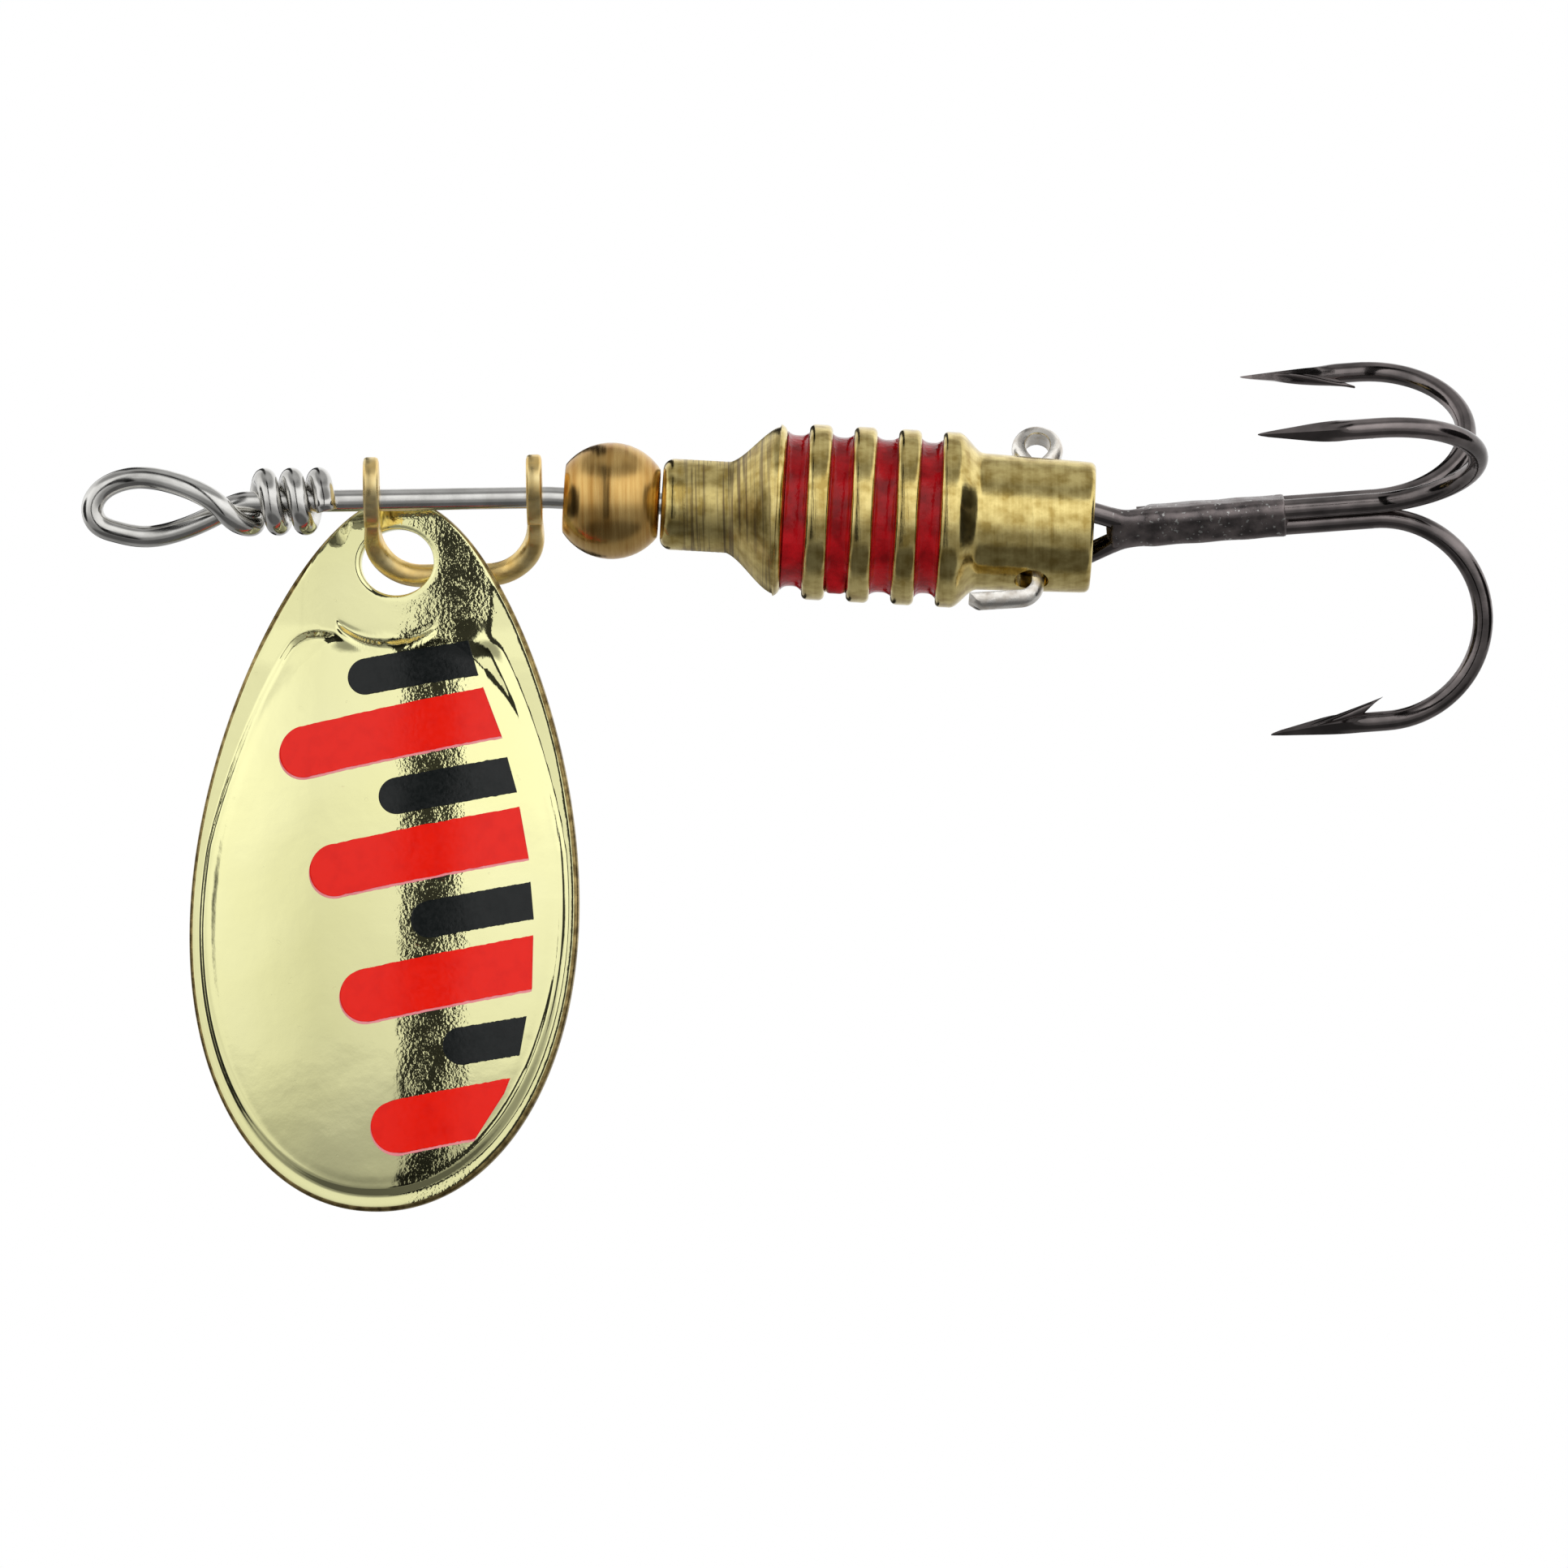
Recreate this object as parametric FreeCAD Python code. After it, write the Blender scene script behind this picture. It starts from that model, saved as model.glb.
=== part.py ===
import FreeCAD, Part
import math
import os

# Inline spinner lure, millimetres.  +X runs from the line eye to the treble along the straight
# front of the shaft wire, +Z is up, and the origin is the middle of the line eye on the wire's axis.
# Every piece is one solid (the enamel is four rings), written to its own STEP file.

Vec = FreeCAD.Vector
ORIGIN = Vec(0, 0, 0)
X_AXIS = Vec(1, 0, 0)
Y_AXIS = Vec(0, 1, 0)
Z_AXIS = Vec(0, 0, 1)

# Shaft wire
wire_dia = 0.95            # stainless spring wire
eye_half_height = 1.28     # of the teardrop eye, to the wire's centre
eye_front = 2.58           # from the origin to the wire's centre at the eye's round end
wrap_start = 4.30          # where the tag end starts to wind round the shaft
wrap_open = 0.22           # from one wrap to the next
wrap_turns = 2.9
wrap_gap = 0.05            # between the wraps and the shaft inside them
bend_gap = 0.262           # from the clevis's rear tab to the shaft's slight bend
bend_radius = 8.0
droop = 4.13               # degrees that everything behind the bend hangs below the front wire
head_dia = 2.3             # peened head inside the body
head_thick = 0.7

# Clevis
clevis_gap = 1.0           # from the last wrap to the clevis
tab_thick = 0.68
tab_width = 2.5
tab_top = 1.95             # tab end above the wire
tab_span = 7.04            # from tab to tab, centre to centre
clevis_play = 0.2          # hole over wire diameter
clevis_wire = 1.0          # round bottom of the clevis
clevis_depth = 3.78        # from the shaft's axis to the middle of the bottom wire
clevis_corner = 2.1
clevis_spin = 30.0         # degrees that the clevis is turned back about the shaft

# Blade
blade_length = 31.0
blade_width = 17.2
blade_thick = 0.5
blade_dome = 1.55          # height of the stamped dome over the rim
rim_width = 0.75           # flat rim beside the dome
head_length = 5.6          # flat head, from the blade's top edge to the dome
tip_flat = 0.8             # flat rim under the dome, at the tip
hole_wide = 3.3
hole_high = 2.93
hole_place = 2.81          # hole centre below the blade's top edge
hole_from_tab = 1.05       # hole centre behind the front tab
hole_over_wire = 0.574     # hole centre above the clevis's bottom wire
hole_before_wire = 0.42    # hole centre in front of that wire
blade_yaw = 10.0           # degrees, rear edge nearer
blade_pitch = 6.0          # degrees, tip nearer
blade_lean = 2.0           # degrees, top edge to the rear

# Bead
bead_dia = 5.04
bead_length = 4.14         # between its two flats
bead_play = 0.3            # bore over wire diameter
bead_start = 0.66          # from the bend to the bead
bead_gap = 0.10            # from the bead to the body

# Body: front neck, flare, four ribs with four enamelled grooves, rear sleeve
body_play = 0.3            # bore over wire diameter
neck_dia = 3.95
neck_length = 2.9
neck_round = 0.5
flare_length = 2.4
shoulder_step = 0.15       # from the end of the flare up to the ribs
groove_wide = 0.93
rib_wide = 1.0
rib_dia = 7.6
groove_depth = 0.7
enamel_thick = 0.16
ring_count = 4
rear_fall = 0.8            # rounded back of the last rib
sleeve_length = 4.85
sleeve_wall = 0.66
sleeve_taper = 0.27        # loss of diameter to the rear
sleeve_edge = 0.3          # chamfer round the rear face
bore_room = 0.94           # rear bore over the width of the hook's eye
bore_clear = 0.42          # from the peened head to the front of the hook's eye

# Split pin
pin_play = 0.48            # hole over pin diameter
pin_wire = 1.0             # the two half-round legs closed together
pin_place = 2.55           # from the body's rear face
pin_roll = 31.0            # degrees, foot nearer
pin_loop = 2.1             # outside of the loop
pin_seat = 0.12            # how far the loop sits into the hole
pin_leg_rise = 0.75        # from the sleeve to the folded leg's flat, just past the knee
pin_fold_radius = 0.55     # inside radius of the knee
pin_fold = 2.2             # length of the folded leg past the knee
pin_splay = 8.0            # degrees that the folded leg stands off the sleeve

# Treble hook
hook_wire = 0.88
strand_press = 0.04        # how far the pair's two strands are pressed into each other
strand_gap = 0.02          # from those strands to the third
eye_play = 0.9             # width of the eye over pin diameter
eye_side = 1.9             # straight side of the eye behind the pin
eye_close = 1.5            # radius of the bends that close the eye
hook_gap = 0.10            # from the pin to the front of the eye
hook_rise = 3.27           # degrees that the shank rises over the front wire
hook_drop = 0.34           # shank's axis under the pin's middle
hook_roll = 50.0           # degrees, brazed hook away from straight up
shank_length = 14.7        # from the pin to the start of the bends
hook_bend = 4.45           # bend radius, to the wire's centre
point_length = 5.06
barb_back = 4.95           # barb's tip behind the point
barb_rise = 0.62           # barb's tip over the wire
braze_start = 4.5
braze_end = 11.05
braze_skin = 0.06


def rod(start, end, dia):
    """A round bar between two points."""
    along = end - start
    return Part.makeCylinder(dia / 2, along.Length, start, along)


def bent_rod(points, radii, dia):
    """A round wire through the points, bent at each inner point to its radius."""
    pieces = []
    here = points[0]
    for corner, radius, following in zip(points[1:-1], radii, points[2:]):
        before = (corner - here).normalize()
        after = (following - corner).normalize()
        turn = before.getAngle(after)
        setback = radius * math.tan(turn / 2)
        start = corner - before * setback
        pieces.append(rod(here, start, dia))
        axis = before.cross(after).normalize()
        centre = start + axis.cross(before) * radius
        disc = Part.Face(Part.Wire(Part.makeCircle(dia / 2, start, before)))
        pieces.append(disc.revolve(centre, axis, math.degrees(turn)))
        here = corner + after * setback
    pieces.append(rod(here, points[-1], dia))
    return pieces[0].multiFuse(pieces[1:]).removeSplitter()


def turned(profile):
    """A solid of revolution about +X from (along, radius) points, closed on the axis."""
    outline = [Vec(along, 0, radius) for along, radius in profile]
    outline = [Vec(outline[0].x, 0, 0)] + outline + [Vec(outline[-1].x, 0, 0)]
    face = Part.Face(Part.makePolygon(outline + [outline[0]]))
    return face.revolve(ORIGIN, X_AXIS, 360)


def behind_bend(shape):
    """Move a shape from the drooping line's own frame, which starts at the bend."""
    shape.rotate(ORIGIN, Y_AXIS, droop)
    shape.translate(Vec(bend_place, 0, 0))
    return shape


# Sizes that follow from what fits together
wrap_pitch = wire_dia + wrap_open
eye_inner_wide = pin_wire + eye_play
sleeve_bore = eye_inner_wide + 2 * hook_wire + bore_room
sleeve_dia = sleeve_bore + 2 * sleeve_wall
bore_depth = pin_place + pin_wire / 2 + hook_gap + hook_wire + bore_clear + head_thick
groove_dia = rib_dia - 2 * groove_depth
dome_length = blade_length - head_length - tip_flat

# Clevis places: the front tab stands clear of the last wrap, the rear tab of the bend
front_tab = wrap_start + wrap_pitch * wrap_turns + wire_dia / 2 + clevis_gap + tab_thick / 2
rear_tab = front_tab + tab_span
bend_place = rear_tab + tab_thick / 2 + bend_gap
clevis_bottom = Vec(0, math.sin(math.radians(clevis_spin)), -math.cos(math.radians(clevis_spin)))
blade_hole = Vec(front_tab + hole_from_tab,
                 clevis_depth * clevis_bottom.y - hole_before_wire,
                 clevis_depth * clevis_bottom.z + hole_over_wire)

# Places along the drooping line, measured from the bend
nose_place = bead_start + bead_length + bead_gap
rings_place = nose_place + neck_length + flare_length
rear_place = rings_place + ring_count * (groove_wide + rib_wide) + rear_fall
body_end = rear_place + sleeve_length
bore_floor = body_end - bore_depth
pin_along = body_end - pin_place


def eye_route():
    """Points of the wire's centre from the straight shaft round the teardrop eye to the wraps."""
    coil = wire_dia + wrap_gap
    top = eye_half_height - 0.15
    bottom = -eye_half_height - 0.13
    round_end = [
        Vec(-0.12 * eye_front, 0, bottom),
        Vec(-0.62 * eye_front, 0, 0.83 * bottom),
        Vec(-0.91 * eye_front, 0, 0.57 * bottom),
        Vec(-eye_front, 0, 0.13 * bottom),
        Vec(-0.90 * eye_front, 0, 0.39 * top),
        Vec(-0.62 * eye_front, -0.03, 0.82 * top),
        Vec(-0.16 * eye_front, -0.15, top),
    ]
    lower_strand = [
        Vec(wrap_start - 0.10, 0, 0),
        Vec(wrap_start - 1.55, 0.03, 0.37 * bottom),
        Vec(wrap_start - 2.93, 0.02, 0.78 * bottom),
    ]
    upper_strand = [
        Vec(wrap_start - 3.35, -0.50 * coil, 0.78 * top),
        Vec(wrap_start - 2.20, -0.88 * coil, 0.37 * top),
        Vec(wrap_start - 1.35, -coil, -0.13 * top),
        Vec(wrap_start - 0.68, -0.75 * coil, -0.80 * coil),
    ]
    return lower_strand + round_end + upper_strand


def make_shaft_wire():
    """Eye, wraps, straight front, slight bend, straight rear and peened head, one wire."""
    coil = wire_dia + wrap_gap
    route = eye_route()
    steps = 24
    for step in range(steps + 1):
        turn = wrap_turns * step / steps
        angle = 2 * math.pi * turn
        place = wrap_start + wrap_pitch * turn
        route.append(Vec(place, coil * math.sin(angle), -coil * math.cos(angle)))
    last = Vec(wrap_pitch / (2 * math.pi), coil * math.cos(angle), coil * math.sin(angle))
    wound = Part.BSplineCurve()
    wound.interpolate(Points=route, InitialTangent=Vec(-1, 0, 0), FinalTangent=last.normalize())
    half_turn = math.radians(droop) / 2
    rear = Vec(math.cos(2 * half_turn), 0, -math.sin(2 * half_turn))
    corner = Vec(bend_place, 0, 0)
    before = corner - X_AXIS * bend_radius * math.tan(half_turn)
    after = corner + rear * bend_radius * math.tan(half_turn)
    crest = before + Vec(bend_radius * math.sin(half_turn), 0,
                         bend_radius * (math.cos(half_turn) - 1))
    end = corner + rear * (bore_floor + head_thick / 2)
    path = Part.Wire([
        Part.LineSegment(end, after).toShape(),
        Part.Arc(after, crest, before).toShape(),
        Part.LineSegment(before, route[0]).toShape(),
        wound.toShape(),
    ])
    section = Part.Wire(Part.makeCircle(wire_dia / 2, end, rear))
    wire = path.makePipeShell([section], True, False)
    head = Part.makeCylinder(head_dia / 2, head_thick, Vec(bore_floor, 0, 0), X_AXIS)
    crown = [edge for edge in head.Edges if edge.BoundBox.XMin > bore_floor + head_thick / 2]
    return wire.fuse(behind_bend(head.makeFillet(head_thick * 0.4, crown)))


def make_clevis():
    """A stirrup of brass wire: two flattened ends bored for the shaft and a round bottom."""
    front = Vec(front_tab, 0, 0)
    rear = Vec(rear_tab, 0, 0)
    neck = Vec(0, 0, -tab_width * 0.62)
    down = Vec(0, 0, -clevis_depth)
    points = [front + neck, front + down, rear + down, rear + neck]
    stirrup = bent_rod(points, [clevis_corner, clevis_corner], clevis_wire)
    for tab in (front, rear):
        half = tab_width / 2
        round_top = tab + Vec(-tab_thick / 2, 0, tab_top - half)
        disc = Part.makeCylinder(half, tab_thick, round_top, X_AXIS)
        slab = Part.makeBox(tab_thick, tab_width, tab_top - half,
                            tab + Vec(-tab_thick / 2, -half, 0))
        foot = Part.makeCylinder(half, tab_thick, tab + Vec(-tab_thick / 2, 0, 0), X_AXIS)
        leg = Part.makeBox(tab_thick, clevis_wire * 1.1, tab_width * 0.75,
                           tab + Vec(-tab_thick / 2, -clevis_wire * 0.55, -tab_width * 0.85))
        stirrup = stirrup.fuse([disc, slab, foot, leg])
    hole = Part.makeCylinder((wire_dia + clevis_play) / 2, tab_span + 4, front - X_AXIS * 2, X_AXIS)
    stirrup = stirrup.cut(hole).removeSplitter()
    stirrup.rotate(ORIGIN, X_AXIS, clevis_spin)
    return stirrup


def blade_half_width(share):
    """Half the leaf's width at a share of its length from the top edge: a rounded head that
    widens to the full width at six tenths and closes in a round tip."""
    swell = 1.50 + share - 0.28 * share ** 2
    return blade_width / 2 * math.sqrt(share) * (1 - share) ** 0.48 * swell


def place_blade(shape):
    """Turn the blade from its own frame (hole at the origin, tip down -Z) to its place."""
    shape.rotate(ORIGIN, Y_AXIS, blade_lean)
    shape.rotate(ORIGIN, X_AXIS, -blade_pitch)
    shape.rotate(ORIGIN, Z_AXIS, -blade_yaw)
    shape.translate(blade_hole)
    return shape


def barrel(shrink):
    """The dome's full barrel, bowed along and across, less a skin; its crown faces -Y."""
    along = dome_length / 2
    bow_long = (along ** 2 + blade_dome ** 2) / (2 * blade_dome) - shrink
    across = blade_width / 2 - rim_width
    bow_wide = (across ** 2 + blade_dome ** 2) / (2 * blade_dome) - shrink
    crown = Vec(bow_wide, 0, 0)
    reach = along * 1.05
    sink = bow_long - math.sqrt(bow_long ** 2 - reach ** 2)
    ends = (crown + Vec(-sink, 0, reach), crown + Vec(-sink, 0, -reach))
    foot = [Vec(0, 0, -reach), Vec(0, 0, reach)]
    edges = [Part.Arc(ends[0], crown, ends[1]).toShape()]
    edges.append(Part.makePolygon([ends[1], foot[0], foot[1], ends[0]]))
    solid = Part.Face(Part.Wire(edges[:1] + edges[1].Edges)).revolve(ORIGIN, Z_AXIS, 360)
    middle = hole_place - head_length - along
    lift = (across ** 2 + blade_dome ** 2) / (2 * blade_dome) - blade_dome
    solid.translate(Vec(0, lift - blade_thick / 2, middle))
    return solid


def make_blade():
    """A leaf stamped from sheet: flat head and rim, domed towards its front (-Y)."""
    half = []
    count = 10
    for step in range(1, count):
        share = 0.5 - 0.5 * math.cos(math.pi * step / count)
        half.append((blade_half_width(share), hole_place - share * blade_length))
    outline = [Vec(0, 0, hole_place)]
    outline += [Vec(wide, 0, high) for wide, high in half]
    outline += [Vec(0, 0, hole_place - blade_length)]
    outline += [Vec(-wide, 0, high) for wide, high in reversed(half)]
    edge = Part.BSplineCurve()
    edge.interpolate(outline, True)
    leaf = Part.Face(Part.Wire(edge.toShape()))
    leaf.translate(Vec(0, -blade_thick / 2, 0))
    sheet = leaf.extrude(Vec(0, blade_thick, 0))
    depth = blade_dome + 4 * blade_thick
    room = Part.makeBox(blade_width * 2, depth, blade_length * 2,
                        Vec(-blade_width, -depth - blade_thick / 2, -blade_length * 1.5))
    sheet = sheet.fuse(barrel(0).common(room))
    room.translate(Vec(0, blade_thick + 0.5, 0))
    sheet = sheet.cut(barrel(blade_thick).common(room))
    hole = Part.Ellipse(ORIGIN, hole_wide / 2, hole_high / 2)
    hole = Part.Face(Part.Wire(hole.toShape()))
    hole.rotate(ORIGIN, X_AXIS, 90)
    hole.translate(Vec(0, -depth, 0))
    hole = hole.extrude(Vec(0, 2 * depth, 0))
    return place_blade(sheet.cut(hole))


def make_bead():
    """A ball with two flats and a through bore."""
    radius = bead_dia / 2
    middle = bead_start + bead_length / 2
    ball = Part.makeSphere(radius, Vec(middle, 0, 0))
    keep = Part.makeCylinder(radius + 1, bead_length, Vec(bead_start, 0, 0), X_AXIS)
    bore = Part.makeCylinder((wire_dia + bead_play) / 2, bead_dia, Vec(bead_start - 0.5, 0, 0), X_AXIS)
    return behind_bend(ball.common(keep).cut(bore))


def groove_place(index):
    """Start of one groove along the drooping line."""
    return rings_place + index * (groove_wide + rib_wide)


def body_blank():
    """The turned outside of the body before its grooves, as (along, radius) points."""
    neck = neck_dia / 2
    shoulder = rib_dia / 2 - shoulder_step
    flare = nose_place + neck_length
    profile = [(nose_place, neck - neck_round)]
    for step in range(1, 7):
        angle = math.radians(15 * step)
        profile.append((nose_place + neck_round * (1 - math.cos(angle)),
                        neck - neck_round * (1 - math.sin(angle))))
    for step in range(0, 13):
        share = step / 12
        rise = share ** 2 * (3 - 2 * share) * 0.55 + share * 0.45
        profile.append((flare + flare_length * share, neck + (shoulder - neck) * rise))
    return profile


def make_body():
    """The turned brass body, with its front wire bore and its rear bore for the hook's eye."""
    profile = body_blank()
    rib = rib_dia / 2
    last_groove = groove_place(ring_count - 1) + groove_wide
    profile.append((rings_place, rib))
    sleeve = sleeve_dia / 2
    fall = rear_place - last_groove
    for step in range(0, 13):
        share = step / 12
        drop = share ** 2 * (3 - 2 * share)
        profile.append((last_groove + fall * (0.35 + 0.65 * share), rib - (rib - sleeve) * drop))
    profile.append((body_end - sleeve_edge, sleeve - sleeve_taper / 2))
    profile.append((body_end, sleeve - sleeve_taper / 2 - sleeve_edge))
    solid = turned(profile)
    for index in range(ring_count):
        start = groove_place(index)
        outer = Part.makeCylinder(rib + 1, groove_wide, Vec(start, 0, 0), X_AXIS)
        core = Part.makeCylinder(groove_dia / 2, groove_wide, Vec(start, 0, 0), X_AXIS)
        solid = solid.cut(outer.cut(core))
    wire_bore = Part.makeCylinder((wire_dia + body_play) / 2, body_end, ORIGIN, X_AXIS)
    rear_bore = Part.makeCylinder(sleeve_bore / 2, bore_depth + 1, Vec(bore_floor, 0, 0), X_AXIS)
    pin_bore = Part.makeCylinder((pin_wire + pin_play) / 2, sleeve_dia * 2,
                                 Vec(pin_along, 0, -sleeve_dia), Z_AXIS)
    pin_bore.rotate(ORIGIN, X_AXIS, -pin_roll)
    return behind_bend(solid.cut(wire_bore).cut(rear_bore).cut(pin_bore))


def make_groove_lacquer():
    """Four rings of enamel, one run into the bottom of each groove."""
    rings = []
    for index in range(ring_count):
        start = Vec(groove_place(index), 0, 0)
        outer = Part.makeCylinder(groove_dia / 2 + enamel_thick, groove_wide, start, X_AXIS)
        core = Part.makeCylinder(groove_dia / 2, groove_wide, start, X_AXIS)
        rings.append(outer.cut(core))
    return behind_bend(Part.makeCompound(rings))


def half_round(start, flat_side, across):
    """A half-round face: its flat through start, its back bulging away from flat_side."""
    radius = pin_wire / 2
    ends = (start - across * radius, start + across * radius)
    bow = Part.Arc(ends[0], start - flat_side * radius, ends[1])
    return Part.Face(Part.Wire([bow.toShape(), Part.LineSegment(ends[1], ends[0]).toShape()]))


def make_split_pin():
    """A cotter of half-round wire: a loop on top, two legs side by side, one folded forward."""
    sleeve = (sleeve_dia - sleeve_taper / 2) / 2
    inner = pin_loop / 2 - pin_wire / 2
    loop_place = sleeve + pin_loop / 2 - pin_seat
    loop = half_round(Vec(inner, 0, loop_place), X_AXIS * -1, Y_AXIS)
    loop = loop.revolve(Vec(0, 0, loop_place), Y_AXIS, 360)
    stem_top = loop_place - inner - 0.2
    turn = 90 - pin_splay
    corner = -(sleeve + pin_leg_rise - pin_fold_radius)
    rear_leg = half_round(Vec(0, 0, stem_top), X_AXIS * -1, Y_AXIS)
    rear_leg = rear_leg.extrude(Vec(0, 0, corner - stem_top))
    front_leg = half_round(Vec(0, 0, stem_top), X_AXIS, Y_AXIS)
    front_leg = front_leg.extrude(Vec(0, 0, -stem_top - sleeve_bore * 0.42))
    pivot = Vec(-pin_fold_radius, 0, corner)
    knee = half_round(Vec(0, 0, corner), X_AXIS * -1, Y_AXIS).revolve(pivot, Y_AXIS, turn)
    foot = half_round(Vec(0, 0, corner), X_AXIS * -1, Y_AXIS)
    foot = foot.extrude(Vec(0, 0, -pin_fold))
    foot.rotate(pivot, Y_AXIS, turn)
    pin = loop.fuse([rear_leg, front_leg, knee, foot])
    pin.translate(Vec(pin_along, 0, 0))
    pin.rotate(ORIGIN, X_AXIS, -pin_roll)
    return behind_bend(pin.removeSplitter())


# Treble: its own frame has the pin's middle at the origin, the shank along +X and the brazed
# hook up +Z; the eye lies in a flat plane across it
side_step = (hook_wire - strand_press) / 2
plane_drop = side_step / math.sqrt(3)
wire_ring = 2 * plane_drop
single_rise = math.sqrt((hook_wire + strand_gap) ** 2 - side_step ** 2) - plane_drop
eye_half = (eye_inner_wide + hook_wire) / 2
eye_tip = -(pin_wire / 2 + hook_gap + hook_wire / 2)


def place_treble(shape):
    """Roll, raise and move the treble from its own frame to its place on the pin."""
    shape.rotate(ORIGIN, X_AXIS, -hook_roll)
    shape.rotate(ORIGIN, Y_AXIS, -hook_rise)
    angle = math.radians(droop)
    pin_middle = Vec(bend_place + pin_along * math.cos(angle), 0, -pin_along * math.sin(angle))
    shape.translate(pin_middle + Vec(0, 0, -hook_drop))
    return shape


def hook_end(azimuth, ring):
    """Bend, tapered point and barb of one hook, for a wire that leaves the shank at azimuth
    degrees about +X from +Z, its centre a ring's distance from the shank's axis."""
    reach = ring + 2 * hook_bend
    centre = Vec(shank_length, 0, ring + hook_bend)
    disc = Part.Face(Part.Wire(Part.makeCircle(hook_wire / 2, Vec(shank_length, 0, ring), X_AXIS)))
    bend = disc.revolve(centre, Y_AXIS, -180)
    tip = Vec(shank_length - point_length, 0, reach + hook_wire * 0.30)
    root = Vec(shank_length, 0, reach)
    neck = Vec(shank_length - 0.5, 0, reach)
    collar = rod(root, neck, hook_wire)
    big = Part.Wire(Part.makeCircle(hook_wire / 2, neck, X_AXIS))
    mid_place = neck + (tip - neck) * 0.55
    middle = Part.Wire(Part.makeCircle(hook_wire * 0.30, mid_place, X_AXIS))
    small = Part.Wire(Part.makeCircle(hook_wire * 0.04, tip, X_AXIS))
    spear = Part.makeLoft([big, middle], True, True).fuse(Part.makeLoft([middle, small], True, True))
    barb_tip = Vec(tip.x + barb_back, 0, reach - hook_wire / 2 - barb_rise)
    barb = Part.makePolygon([tip + Vec(0.9, 0, -0.1), barb_tip, Vec(barb_tip.x - 0.75, 0, reach - 0.2),
                             Vec(tip.x + 1.6, 0, reach + 0.1), tip + Vec(0.9, 0, -0.1)])
    barb = Part.Face(barb)
    barb.translate(Vec(0, -hook_wire * 0.24, 0))
    barb = barb.extrude(Vec(0, hook_wire * 0.48, 0))
    end = bend.fuse([collar, spear, barb]).removeSplitter()
    end.rotate(ORIGIN, X_AXIS, -azimuth)
    return end


def make_hook_pair():
    """One wire bent into the eye, two strands of the shank and two of the three hooks."""
    side = [
        Vec(0, eye_half, -plane_drop),
        Vec(eye_side, eye_half, -plane_drop),
        Vec(eye_side + eye_close * 1.35, side_step, -plane_drop),
        Vec(shank_length, side_step, -plane_drop),
    ]
    side[0].x = eye_tip + eye_half
    arms = []
    for hand in (1, -1):
        points = [Vec(point.x, point.y * hand, point.z) for point in side]
        arms.append(bent_rod(points, [eye_close, eye_close], hook_wire))
    disc = Part.Face(Part.Wire(Part.makeCircle(hook_wire / 2, side[0], X_AXIS)))
    loop = disc.revolve(Vec(side[0].x, 0, -plane_drop), Z_AXIS, 180)
    pair = arms[0].fuse([arms[1], loop, hook_end(120, wire_ring), hook_end(-120, wire_ring)])
    return place_treble(pair.removeSplitter())


def make_hook_single():
    """The third hook, a straight strand laid in the pair's groove."""
    strand = rod(Vec(braze_start, 0, single_rise), Vec(shank_length, 0, single_rise), hook_wire)
    return place_treble(strand.fuse(hook_end(0, single_rise)).removeSplitter())


def make_hook_braze():
    """The filler round the three strands: a skin over them that fills the grooves between."""
    radius = hook_wire / 2 + braze_skin
    length = Vec(braze_end - braze_start, 0, 0)
    corners = [
        Vec(braze_start, 0, single_rise),
        Vec(braze_start, side_step, -plane_drop),
        Vec(braze_start, -side_step, -plane_drop),
    ]
    outer = [Part.makeCylinder(radius, length.x, corner, X_AXIS) for corner in corners]
    strands = [Part.makeCylinder(hook_wire / 2, length.x, corner, X_AXIS) for corner in corners]
    core = Part.Face(Part.makePolygon(corners + [corners[0]])).extrude(length)
    for start, end in zip(corners, corners[1:] + corners[:1]):
        out = (end - start).cross(X_AXIS).normalize() * radius
        side = Part.makePolygon([start, end, end + out, start + out, start])
        outer.append(Part.Face(side).extrude(length))
    skin = outer[0].fuse(outer[1:]).removeSplitter()
    return place_treble(skin.cut(strands + [core]))


os.makedirs("parts", exist_ok=True)
pieces = {
    "shaft_wire": make_shaft_wire(),
    "clevis": make_clevis(),
    "blade": make_blade(),
    "bead": make_bead(),
    "body": make_body(),
    "groove_lacquer": make_groove_lacquer(),
    "split_pin": make_split_pin(),
    "hook_pair": make_hook_pair(),
    "hook_single": make_hook_single(),
    "hook_braze": make_hook_braze(),
}
for name, shape in pieces.items():
    shape.exportStep("parts/" + name + ".step")
    print(name, len(shape.Solids), "solids", round(shape.Volume, 3), "mm3", shape.isValid())
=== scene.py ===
import math

import bpy
import numpy as np
from mathutils import Matrix, Vector


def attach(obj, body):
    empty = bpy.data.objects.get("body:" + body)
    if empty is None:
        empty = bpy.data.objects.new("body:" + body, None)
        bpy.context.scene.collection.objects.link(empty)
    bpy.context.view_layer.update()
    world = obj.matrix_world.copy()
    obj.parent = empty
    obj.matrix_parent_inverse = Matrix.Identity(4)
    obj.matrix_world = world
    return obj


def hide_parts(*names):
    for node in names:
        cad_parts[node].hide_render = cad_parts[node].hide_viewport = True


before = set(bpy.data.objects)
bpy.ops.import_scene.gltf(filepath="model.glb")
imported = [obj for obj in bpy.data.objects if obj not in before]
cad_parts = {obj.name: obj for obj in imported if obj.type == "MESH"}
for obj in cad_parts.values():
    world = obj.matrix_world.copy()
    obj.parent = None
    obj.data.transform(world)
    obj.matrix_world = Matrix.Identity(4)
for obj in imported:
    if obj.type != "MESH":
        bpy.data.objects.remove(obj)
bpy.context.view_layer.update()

# ---------------------------------------------------------------------------------------------
# Studio: a white room with one dark slot for the metal to mirror, three soft boxes, a pale floor
# well under the lure, and a long-lens camera square to the domed side of the blade.
# ---------------------------------------------------------------------------------------------

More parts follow.
